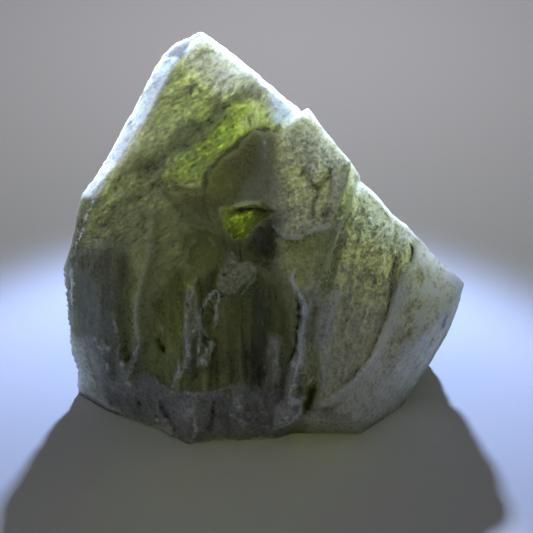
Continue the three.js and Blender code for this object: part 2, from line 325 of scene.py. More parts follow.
def to_outline(line: list[Point2], across: Array, up: Array) -> Array:
    """Measures from points to a closed outline.

    Args:
        line: The outline's corners.
        across: The points' places across.
        up: The points' places up.

    Returns:
        The distances, negative inside the outline.
    """
    inside = np.zeros(across.shape, bool)
    for (ax, ay), (bx, by) in zip(line, line[-1:] + line[:-1]):
        if ay != by:
            level = (ay > up) != (by > up)
            inside ^= level & (across < (bx - ax) * (up - ay) / (by - ay) + ax)
    away, _ = to_line(line + line[:1], across, up)
    return np.where(inside, -away, away)


def rounded(line: list[Point2], parts: int = 5) -> list[Point2]:
    """Draws a smooth curve through a line's points.

    Args:
        line: The points.
        parts: How many straight parts stand for the curve from one point to the next.

    Returns:
        The points of the curve.
    """
    if len(line) < 3:
        return line
    ends = [2 * np.array(line[0]) - line[1], *map(np.array, line), 2 * np.array(line[-1]) - line[-2]]
    curve = []
    for before, start, end, after in zip(ends, ends[1:], ends[2:], ends[3:]):
        for n in range(parts):
            t = n / parts
            point = 0.5 * (
                2 * start
                + (end - before) * t
                + (2 * before - 5 * start + 4 * end - after) * t**2
                + (3 * start - before - 3 * end + after) * t**3
            )
            curve.append((float(point[0]), float(point[1])))
    return curve + [line[-1]]


class Tone(Enum):
    """The colour that the glass shows in an area, as light that it passes or gives back."""

    # Painted light and shade: the torch's blue is painted into the white of the frosted left band, and the
    # two dark rim tones are painted shade that dims the rims and the tip where the torch's light grazes
    # them.
    FROST_AND_TORCH_BLUE = (0.66, 0.76, 1.0)
    RIM_SHADE = (0.085, 0.10, 0.13)
    RIGHT_RIM_SHADE = (0.16, 0.18, 0.22)
    MILK = (0.70, 0.74, 0.80)
    DOVE = (0.47, 0.47, 0.43)
    CREAM = (0.67, 0.66, 0.62)
    CHALK = (0.92, 0.90, 0.72)
    PALE = (0.56, 0.57, 0.49)
    STRAW = (0.71, 0.70, 0.52)
    LIME = (0.69, 0.72, 0.30)
    VIVID = (0.60, 0.64, 0.25)
    LEAF = (0.63, 0.65, 0.44)
    MEADOW = (0.52, 0.54, 0.27)
    FERN = (0.54, 0.56, 0.24)
    SEDGE = (0.43, 0.45, 0.21)
    MOSS = (0.44, 0.45, 0.29)
    DUSK = (0.33, 0.34, 0.22)
    ASH = (0.36, 0.36, 0.34)
    BOTTLE = (0.31, 0.33, 0.10)
    UMBER = (0.24, 0.245, 0.10)
    OLIVE = (0.17, 0.17, 0.06)
    SMOKE = (0.20, 0.20, 0.13)
    NIGHT = (0.085, 0.087, 0.055)


class Profile(Enum):
    """The shape of a stroke from side to side."""

    RIDGE = "rises or falls to a sharp line"
    RIBBON = "flat, with steep sides"


class Grain(Enum):
    """The texture that an area of the front is broken into."""

    PEEL = "shallow bowls, drawn out a little up to the right"
    PITS = "deeper pits of several sizes"
    FAN = "fine ribs that fan out from a pole far below"
    STREAKS = "fine upright ribs"
    CHIPS = "small tilted facets"
    MELT = "the slow swell of a fire-polished surface"


@dataclass(frozen=True)
class Patch:
    """An area of the front with one texture and one look.

    Attributes:
        edge: Half the width over which it fades into what lies around it.
        grain: Its texture.
        depth: How strong the texture is.
        tone: Its colour, with painted light and shade in many patches.
        clear: How much light passes into the glass, from 0 to 1.
        frost: How matt and whitened it is, from 0 to 1.
        grit: How strongly its finest texture shows, from 0 to 1.
        line: Its outline.
    """

    edge: float
    grain: Grain
    depth: float
    tone: Tone
    clear: float
    frost: float
    grit: float
    line: list[Point2]


@dataclass(frozen=True)
class Stroke:
    """A thin lip, rib, crack or pit of the front.

    Attributes:
        height: How high it stands, negative where it is cut in.
        half: Half its width.
        look: How white it is, to 1, with frost and painted highlights and glints, or how dark, to -1, with
            painted shade.
        line: The points that it runs through.
        profile: Its shape from side to side.
    """

    height: float
    half: float
    look: float
    line: list[Point2]
    profile: Profile = Profile.RIDGE


MAIN_OUTLINE = {
    "top right": Corner((1.2, 13.3, 4.8), 9, 20),
    "apex right": Corner((-5.2, 17.3, 4.4), 10, 25),
    "apex": Corner((-6.2, 17.7, 3.1), 27, 25),
    "left band": Corner((-8.7, 16.2, 2.3), 26, 34),
    "left shoulder": Corner((-14.9, 4.8, 1.2), 15, 36),
    "left side": Corner((-16.4, -2.8, -0.4), 30, 22),
    "left heel": Corner((-15.5, -11.2, -6.6), 44, 10, lip=True),
    "left toe": Corner((-12.6, -12.9, -3.8), 46, 10, lip=True),
    "front toe": Corner((-6.2, -15.4, 0.6), 48, 10, lip=True),
    "front right toe": Corner((0.4, -15.1, 0.1), 50, 10, lip=True),
    "rib foot": Corner((3.7, -14.0, -1.7), 24, 0),
    "rib shoulder": Corner((6.8, 6.5, 5.0), 12, 16),
    "rib top": Corner((2.6, 12.2, 4.9), 10, 16),
}
RIGHT_OUTLINE = {
    "right slope": Corner((16.1, -2.5, 0.2), 9, 24),
    "buried top": Corner((-3.0, 15.4, 8.2), 0, 0),
    "buried foot": Corner((-10, -14.5, -1.5), 19, 10),
    "right toe": Corner((7.6, -14.7, -1.0), 26, 10),
    "right heel": Corner((10.9, -12.5, -4.3), 7, 3),
    "right edge": Corner((14.4, -6.7, -2.0), 8, 8),
}
MAIN_FRONT = {
    "upper face": Slope(6.2, 0.085, 0.03),
    "lower face": Slope(7.6, 0.02, 0.32),
    "left lobe": Slope(12.8, 0.72, 0.1),
}
RIGHT_FRONT = {
    "right panel": Slope(6.9, -0.33, 0.05),
    "right panel foot": Slope(9.4, -0.2, 0.46),
    "buried face": Slope(0.8, 1.2, 0),
}
BACK = {
    "back": Facet((0.05, 0.985, 0.165), (0, 8.4, 16)),
    "back foot": Facet((-0.05, 0.93, -0.36), (0, 8.5, 6)),
    "back left": Facet((-0.68, 0.71, 0.18), (-10.4, 5.8, 13)),
    "back right": Facet((0.6, 0.78, 0.16), (9.6, 5.6, 12)),
    "back top": Facet((-0.12, 0.86, 0.5), (-4.4, 5.4, 28)),
    "base": Facet((0, 0, -1), (0, 0, 0)),
}
SCARS = {
    "high scar of the back": Scar((-2.0, 18.4, 25.6), 12.6),
    "middle scar of the back": Scar((4.2, 16.9, 14.8), 9.5),
    "low scar of the back": Scar((-6.4, 15.9, 6.5), 8.8),
    "scar of the back right": Scar((15.6, 14.0, 17.5), 11.3),
    "scar of the back left": Scar((-16.8, 10.2, 17.2), 9.4),
    "low scar of the back left": Scar((-15.4, 9.6, 5.2), 6.9),
    "scar of the right side": Scar((16.9, 8.6, 6.5), 5.2),
}
SWELLS = {
    "arch hollow": Swell((-3.4, 8.6), (4.6, 3), 35, -1.25),
    "lip at the top right": Swell((0.6, 12.4), (3.4, 1.4), -38, 0.35),
    "valley": Swell((-5.6, -4.6), (4.6, 6.4), -6, -2.1),
    "channel": Swell((-0.9, -5.2), (2, 5.4), 4, -1.7),
    "left lobe": Swell((-13.6, -4.4), (2.6, 6.2), 4, 0.55),
    "ripple": Swell((-7.6, 9.6), (6.4, 0.7), 38, 0.35),
    "upper ripple": Swell((-6.2, 13), (3.4, 0.6), 30, 0.25),
    "pits of the rib": Swell((4.1, 4.6), (1.1, 1.9), -8, -0.6),
    "lump of the lip": Swell((-2.1, -12.4), (0.9, 1.2), 0, 0.5),
    "left lump of the lip": Swell((-6.4, -13.7), (1, 1.3), 10, 0.45),
    "right lump of the lip": Swell((1.1, -13.1), (1.6, 1.1), 0, 0.4),
    "right panel trough": Swell((7.4, -3), (2, 6.6), -12, -0.5),
}
PLATES = {
    "wing of the hood": Plate(0.45, 0.5, [(-8.1, 4.8), (-6.4, 5.1), (-4.4, 4.9), (-3.6, 3.4), (-3.9, 1.6),
        (-5.5, 2.1), (-6.5, 3.1)]),
    "hood": Plate(0.75, 0.18, [(-4.8, 4.6), (-4.6, 6.2), (-3.4, 7.5), (-2.3, 8.2), (-1.6, 9.1), (-1, 9.6),
        (0, 9.4), (1.2, 9.3), (1.9, 10), (3.4, 11.6), (5.6, 9.6), (7.4, 6), (6.6, 3.2), (5.8, 1.9),
        (4.7, 1.8), (3.1, 1.4), (2.8, 1), (1.2, 1.1), (0.4, 2.1), (0.1, 2.6), (0.6, 3.2), (-0.4, 3.8),
        (-2.6, 3.7), (-3.3, 3.2), (-3.9, 1.6), (-4.6, 3)]),
    "pool": Plate(-3.3, 0.35, [(-3.3, 3.1), (-2.6, 3.7), (-0.4, 3.8), (0.3, 3.2), (-0.4, 2.7), (-1.2, 2.1),
        (-1.8, 1.3), (-2.5, 1.2), (-3.1, 1.9)]),
    "white plate": Plate(-1.1, 0.2, [(-3.4, 0.2), (-2.1, -0.8), (-1.3, -0.7), (-0.7, -1.3), (-1.2, -2.3),
        (-1.9, -2.7), (-2.5, -3.4), (-3.6, -3.3), (-4.2, -2.7), (-3.9, -1.4)]),
    "hanging strip": Plate(-0.9, 0.25, [(-6.5, -2.6), (-5.6, -2.2), (-5.3, -3.8), (-5.3, -5.4), (-5, -7),
        (-4.5, -7.8), (-4.5, -8.9), (-5.3, -9.2), (-6.1, -10.2), (-6.7, -9.6), (-6.5, -7), (-6.6, -4.6)]),
}
CRESTS = {
    "spine": Crest(0.9, 0.55, [(2, -2.5), (2.9, -3.9), (2.9, -6), (2.6, -8.4), (2, -10.8), (1.9, -11.4)]),
    "lip of the right panel": Crest(0.7, 0.5, [(11.6, -0.8), (10.4, -3.9), (8.8, -7.9), (7.2, -9.8),
        (4.2, -12.6)]),
    "left thin rib": Crest(0.55, 0.4, [(-9.1, 3.2), (-9.4, -0.3), (-10.4, -3.9), (-10.5, -6), (-10.1, -7.3),
        (-11.2, -10.2)]),
    "green groove": Crest(-0.7, 0.4, [(6.1, 1.1), (4.7, -2.7), (3.6, -5.4), (3.6, -7.1), (3.8, -10.2)]),
    "groove of the lip": Crest(-0.6, 0.4, [(11.4, 1), (11.4, -0.9), (10.1, -3), (9.2, -6.7), (7.3, -9.5),
        (5.6, -11)]),
    "groove of the lobe": Crest(-0.9, 0.6, [(-11.2, -0.8), (-11.1, -4), (-11.2, -7.8), (-10.8, -8.8)]),
    "crack": Crest(-2.2, 0.3, [(3.8, -10.6), (3.1, -12.6)]),
    "dark hole": Crest(-1.2, 1.1, [(0, 2), (-0.4, -0.6)]),
}

# The tones of the patches are the glass's colour with painted light and shade: lighter on the upper face
# and in the thin pool and scoop, where the torch behind shines through, and darker in the lower middle;
# painted shade dims the rims and the tip and lies by the pool.
PATCHES = {
    "upper face": Patch(0.4, Grain.PEEL, 1, Tone.LEAF, 0.3, 0.3, 1, [(-5.9, 16.6), (-6.9, 15.2),
        (-8.7, 12.2), (-10.6, 9), (-12.5, 6.2), (-13.5, 4.2), (-14.3, 2.2), (-14.4, 0.8), (-13, 0.5),
        (-11.2, 0), (-9.3, 0.5), (-9, 2.8), (-7.6, 3.7), (-8, 4.8), (-5.2, 5), (-4.8, 6.1), (-3.1, 7.8),
        (-1.6, 9.3), (-0.8, 9.8), (0.4, 9.6), (0.8, 10.2), (0.3, 11.7), (-0.5, 12.8), (-1.6, 13.6),
        (-2.8, 14.9), (-3.6, 16), (-4.8, 16.8)]),
    "low part of the upper face": Patch(1.4, Grain.PEEL, 1, Tone.MEADOW, 0.3, 0.25, 1, [(-14.2, 1.2),
        (-13.8, 3.8), (-12.4, 6), (-10.6, 8), (-8, 6.8), (-7, 5.4), (-8, 4.4), (-7.6, 3.7), (-9, 2.8),
        (-9.3, 0.5), (-11.2, 0), (-13, 0.5)]),
    "scoop by the arch": Patch(0.5, Grain.PEEL, 0.5, Tone.VIVID, 0.1, 0.15, 1, [(-8.3, 5.8), (-6.9, 5.4),
        (-4.9, 5.2), (-3.1, 7.8), (-1.6, 9.3), (-0.6, 9.9), (-0.2, 11.4), (-1.4, 11.8), (-3.2, 10.7),
        (-5, 9.2), (-7.2, 7.4)]),
    "striations of the scoop": Patch(0.3, Grain.STREAKS, 0.7, Tone.LEAF, 0.12, 0.6, 1, [(-2.3, 10.6),
        (-1.3, 11.5), (-0.4, 11.5), (-0.1, 10.7), (-0.2, 9.8), (-1.3, 9.9), (-2.1, 9.4)]),
    "white field": Patch(0.6, Grain.PEEL, 0.5, Tone.MILK, 0.15, 0.8, 0.5, [(-4.4, 16.8), (-3.3, 15.5),
        (-2.8, 14.7), (-1.5, 13.4), (-0.4, 12.6), (0.3, 11.5), (0.6, 10.1), (1.6, 9.8), (3.6, 10.4),
        (3.2, 11.7), (1.9, 13.3), (0.1, 14.9), (-2.1, 16), (-4, 17.1)]),
    "pale apex": Patch(0.9, Grain.PEEL, 0.9, Tone.CREAM, 0.3, 0.5, 0.8, [(-6.6, 15.4), (-5.6, 16.9),
        (-4.4, 16.9), (-2.6, 15), (-0.2, 12.9), (0.4, 11.4), (-1.4, 12), (-3.6, 12.4), (-5.4, 13.6)]),
    "upper rim": Patch(0.12, Grain.MELT, 0.3, Tone.RIM_SHADE, 0.1, 0.2, 0.8, [(-4.9, 17.6), (-4.6, 17.1),
        (-1.9, 15.5), (0.4, 14), (2.6, 11.9), (3.6, 11.2), (3.4, 11.8), (1.6, 13.9), (-1.5, 16.2)]),
    "rim of the right side": Patch(0.12, Grain.MELT, 0.3, Tone.RIGHT_RIM_SHADE, 0.1, 0.2, 0.8, [(2.4, 12.2),
        (3.4, 11.1), (6.5, 7), (7.4, 5.9), (9.4, 4), (11.6, 1.9), (14.2, -0.5), (16.4, -2.5), (16.8, -2),
        (11.8, 2.9), (7.2, 7.6), (3, 13)]),
    "left band": Patch(0.15, Grain.PEEL, 0.5, Tone.FROST_AND_TORCH_BLUE, 0.1, 0.95, 1, [(-6, 18.1), (-9.3, 15.4),
        (-13.6, 7.4), (-14.9, 4.2), (-13.6, 4.2), (-12.5, 6.2), (-10.6, 9), (-8.7, 12.2), (-6.9, 15.2),
        (-5.6, 16.6)]),
    "tip": Patch(0.2, Grain.PEEL, 0.6, Tone.RIM_SHADE, 0.1, 0.2, 1, [(-9.6, 15.2), (-6.2, 18.6), (-1.6, 16.2),
        (-2.2, 15.5), (-4.4, 16.8), (-5.2, 16.8), (-6, 16.5), (-6.9, 15.2), (-7.9, 15.3)]),
    "rim": Patch(0.3, Grain.CHIPS, 0.5, Tone.SMOKE, 0.4, 0.3, 1, [(-14.9, 4.2), (-15.7, 2.2), (-16.7, -1.4),
        (-16.5, -7), (-15.2, -7), (-15.4, -3.8), (-15.1, -0.5), (-14.3, 2.2), (-13.5, 4.2)]),
    "hood": Patch(0.15, Grain.MELT, 0.6, Tone.UMBER, 0.35, 0.05, 0.35, [(-8.4, 5.1), (-6.8, 5.3),
        (-5.2, 5.2), (-4.9, 6.2), (-4, 7.3), (-3.1, 8.1), (-2.3, 8.6), (-1.6, 9.4), (-0.8, 9.9), (0.1, 9.8),
        (0.6, 7.4), (0.6, 4.5), (-0.4, 3.8), (-2.6, 3.8), (-3.6, 3), (-3.9, 1.2), (-5.3, 1.6),
        (-6.8, 2.7)]),
    "pale band of the hood": Patch(0.7, Grain.MELT, 0.6, Tone.DUSK, 0.3, 0.3, 0.5, [(-0.8, 9.4), (0.4, 9.4),
        (0.8, 7.4), (0.8, 5), (2.7, 4.2), (3, 1.9), (1.1, 1.3), (0, 2.4), (-0.4, 3.8), (-1.9, 4.2),
        (-1.9, 5.1), (-1.1, 6), (-0.8, 6.9)]),
    "green spot of the hood": Patch(0.5, Grain.MELT, 0.5, Tone.BOTTLE, 0.3, 0.05, 0.35, [(-4.5, 4.6),
        (-4.4, 6), (-3.6, 6.8), (-2.6, 6.3), (-2.4, 5.3), (-3, 4.5), (-3.9, 4.3)]),
    "rib": Patch(1.1, Grain.PITS, 0.6, Tone.STRAW, 0.2, 0.4, 1, [(1.1, 9.4), (3.5, 10.6), (5.1, 8.8),
        (6.5, 6.6), (6.6, 5), (6.2, 3.2), (5.6, 1.3), (4.9, -0.8), (4.1, -3), (2.7, -3.2), (1.4, -0.8),
        (0.8, 1.3), (0.9, 4.5), (0.8, 7.4)]),
    "top of the rib": Patch(1, Grain.PITS, 0.4, Tone.DOVE, 0.15, 0.5, 0.9, [(1.5, 9.4), (3.4, 10.6),
        (5.1, 8.8), (6.4, 7), (5.6, 6), (3.5, 6.8), (1.5, 7.4)]),
    "pool": Patch(0.2, Grain.PEEL, 0.4, Tone.LIME, 0.25, 0, 0.6, [(-3.8, 3.6), (-0.4, 3.8), (0.6, 3.2),
        (-0.6, 2), (-1.2, 1.1), (-2.6, 0.8), (-3.5, 2)]),
    "left of the ridge": Patch(1.2, Grain.PEEL, 0.7, Tone.SEDGE, 0.35, 0.3, 1, [(-14, 3.6), (-9.2, 3.4),
        (-9.2, 0.4), (-11.2, 0), (-13.4, 0.6), (-14.4, 1.6)]),
    "right of the ridge": Patch(1, Grain.PEEL, 0.7, Tone.FERN, 0.35, 0.2, 0.8, [(-8.9, 3), (-7.4, 4.2),
        (-6.5, 2.9), (-5.3, 1.8), (-3.9, 1.4), (-3.4, 0.2), (-4.4, -2.2), (-6.4, -3.8), (-9, -3.8),
        (-9, -0.5)]),
    "shadow by the pool": Patch(0.8, Grain.MELT, 0.5, Tone.NIGHT, 0.4, 0, 0.6, [(0, 3.5), (1.1, 2.6),
        (1.2, 0.2), (0.4, -1.6), (-0.8, -1.3), (-1.5, -0.4), (-2.6, -0.2), (-2.2, 0.9), (-1.3, 1.1),
        (-0.8, 2.1)]),
    "green flank": Patch(0.2, Grain.MELT, 0.5, Tone.LEAF, 0.4, 0.05, 0.5, [(6.4, 6.9), (7, 6.9), (7.2, 5.4),
        (6.8, 3.2), (6.2, 1), (5.6, -1), (4.8, -3), (4, -4.8), (3.8, -6.6), (4.3, -8.6), (4.1, -10.6),
        (3.4, -10.6), (3.2, -8.3), (3, -6.2), (3.3, -4.5), (4, -2.6), (4.9, -0.5), (5.7, 1.8), (6.2, 3.7)]),
    "below the ledge": Patch(0.6, Grain.PITS, 0.5, Tone.FERN, 0.3, 0.2, 0.8, [(0.9, 1), (3, 1.5),
        (4.9, 1.8), (5, 0.2), (4.3, -1.8), (2.6, -3), (1.3, -1.2)]),
    "centre": Patch(0.7, Grain.STREAKS, 1, Tone.OLIVE, 0.45, 0.2, 1, [(-3.9, 1.4), (-1.6, 1), (-0.8, -1.3),
        (0.8, -2.2), (2, -4.6), (2.2, -7.8), (1.7, -10.7), (-2.1, -10.9), (-5.3, -11.2), (-8.5, -10.9),
        (-10, -9.6), (-9.5, -7.4), (-9.3, -3.8), (-6.6, -3.4), (-4.8, -1.6)]),
    "clear patch": Patch(0.4, Grain.MELT, 0.8, Tone.BOTTLE, 0.6, 0, 0.4, [(-6.6, 1.3), (-5.3, 1.8),
        (-3.9, 1.3), (-3.6, 0), (-4.2, -1.4), (-5.6, -1.6), (-6.6, -0.5)]),
    "green glass": Patch(0.5, Grain.STREAKS, 0.8, Tone.BOTTLE, 0.5, 0.25, 1, [(-9.5, -7.4), (-8.5, -3.8),
        (-7.2, -1.4), (-5.6, -1.4), (-5.3, -3.8), (-5.6, -7.8), (-5, -9.4), (-3.2, -10.2), (-3.1, -11),
        (-5.3, -11.3), (-7.7, -11.1), (-9.6, -9.7)]),
    "hanging strip": Patch(0.3, Grain.STREAKS, 1, Tone.SMOKE, 0.3, 0.35, 0.8, [(-6.6, -3.4), (-5.6, -3),
        (-5.2, -5.6), (-5.2, -8.8), (-5.9, -10.2), (-6.8, -9.6), (-6.6, -7)]),
    "white plate": Patch(0.25, Grain.CHIPS, 0.4, Tone.DUSK, 0.3, 0.4, 1, [(-3.2, 0), (-2.3, -0.7),
        (-1.3, -0.7), (-0.7, -1.3), (-1.2, -2.3), (-1.9, -2.7), (-2.5, -3.4), (-3.4, -3.3), (-4, -2.7),
        (-3.7, -1.4)]),
    "left grey face": Patch(0.4, Grain.STREAKS, 0.6, Tone.FERN, 0.3, 0.25, 0.8, [(-11.1, 0.2), (-9.3, 0.5),
        (-9.4, -0.8), (-10, -3), (-10.4, -4.6), (-10.6, -7.4), (-10.8, -8.8), (-11.4, -8.8), (-11.2, -6.2),
        (-11.2, -3)]),
    "green strip": Patch(0.2, Grain.MELT, 0.5, Tone.FERN, 0.6, 0, 0.5, [(-10.9, -1.6), (-10.1, -1.9),
        (-10.1, -3.2), (-10.4, -4.5), (-10.7, -7.2), (-10.6, -8.3), (-10.9, -8.8), (-11, -6.5),
        (-11.1, -3)]),
    "plate by the ridge": Patch(0.3, Grain.CHIPS, 0.3, Tone.SMOKE, 0.4, 0.35, 0.8, [(-10.5, -7),
        (-9.6, -7.2), (-9.6, -9.6), (-10.6, -10), (-11.2, -9.6)]),
    "lobe": Patch(1.5, Grain.STREAKS, 0.5, Tone.SMOKE, 0.25, 0.25, 1, [(-15.6, -0.8), (-14.6, 0.3),
        (-13.5, 0.6), (-11.4, 0.2), (-11.3, -2.2), (-11.3, -6.2), (-11, -8.6), (-11.4, -11), (-13, -11.8),
        (-15.2, -10.9), (-15.7, -7)]),
    "foot of the lobe": Patch(0.6, Grain.MELT, 0.5, Tone.PALE, 0.3, 0.6, 0.8, [(-16.2, -7), (-14.4, -7),
        (-13.4, -9.9), (-11.5, -11.9), (-11.9, -13.6), (-14.4, -12.8), (-16.1, -11.2)]),
    "lip": Patch(0.35, Grain.CHIPS, 0.6, Tone.ASH, 0.3, 0.4, 0.6, [(-13.6, -9.8), (-11.2, -10.6),
        (-9.6, -9.8), (-7.9, -11.1), (-6.1, -11.4), (-3.2, -11.1), (-2.1, -10.7), (1.7, -10.9),
        (2.7, -11.7), (3.6, -12.6), (1.9, -14.7), (-6.1, -15.8), (-12.5, -13.6)]),
    "pale column": Patch(0.5, Grain.STREAKS, 1, Tone.DOVE, 0.25, 0.5, 1, [(0.2, -6.6), (1.1, -6.8),
        (1.5, -8.4), (1.3, -10.6), (-0.2, -10.8), (0, -8.6)]),
    "spine": Patch(0.25, Grain.CHIPS, 0.9, Tone.ASH, 0.3, 0.5, 1, [(2.2, -2.4), (3, -3.4), (3.5, -5.4),
        (3.2, -8), (2.8, -10.6), (1.6, -11.4), (1.5, -10.4), (2.2, -8), (2.5, -5.6), (2.4, -4)]),
    "dark column": Patch(0.9, Grain.STREAKS, 0.9, Tone.NIGHT, 0.4, 0, 0.8, [(-1.5, -3), (0, -3),
        (0.4, -5.4), (0.3, -8.6), (0.1, -10.6), (-1.3, -10.6), (-1.8, -7.8), (-1.6, -5.1)]),
    "right panel": Patch(0.3, Grain.FAN, 0.7, Tone.STRAW, 0.2, 0.35, 1, [(6.8, 5.9), (10.7, 2.2), (11.6, 1),
        (11.5, -0.8), (10.5, -3), (9.6, -6.2), (7.5, -9.6), (5.1, -12.2), (3.6, -12.5), (4.1, -10.6),
        (4.3, -8.6), (3.8, -6.6), (4, -4.8), (5.1, -2.6), (6.2, 1), (6.8, 3.4)]),
    "top of the right panel": Patch(1.1, Grain.FAN, 0.7, Tone.PALE, 0.1, 0.6, 1, [(6.8, 6), (9.2, 4),
        (11.6, 1.4), (11.4, -0.2), (9.6, 0.2), (7.8, 1), (6.6, 1.8)]),
    "whitish plate": Patch(0.4, Grain.FAN, 0.6, Tone.CREAM, 0.2, 0.5, 1, [(3.6, -3.4), (5.1, -3),
        (5.4, -4.8), (4.9, -7.4), (3.6, -7.8), (3.2, -5.8)]),
    "far panel": Patch(0.25, Grain.FAN, 0.9, Tone.CHALK, 0.2, 0.45, 1, [(11.6, 1.1), (14.7, -1.2),
        (16.3, -2.5), (14.3, -6.6), (13.1, -8.8), (10.7, -12.6), (9.1, -14.1), (5.1, -12.8), (7.5, -9.8),
        (9.6, -6.2), (10.5, -3.2), (11.5, -1)]),
    "lip of the far panel": Patch(0.4, Grain.FAN, 0.9, Tone.CHALK, 0.25, 0.5, 1, [(11.2, -0.8),
        (12.6, -0.8), (12.9, -2.6), (11.5, -5.3), (9.9, -7.7), (8, -10.1), (5.9, -12), (4.8, -12.2),
        (6.8, -9.9), (8.8, -7.7), (9.9, -5.1), (10.5, -3)]),
    "undercut": Patch(0.3, Grain.MELT, 0.5, Tone.PALE, 0.3, 0.15, 0.6, [(3, -12.8), (6.3, -12.8),
        (8, -13.8), (10.5, -13.1), (10.8, -13.4), (9.1, -14.4), (6.7, -15), (3.3, -14.6)]),
}
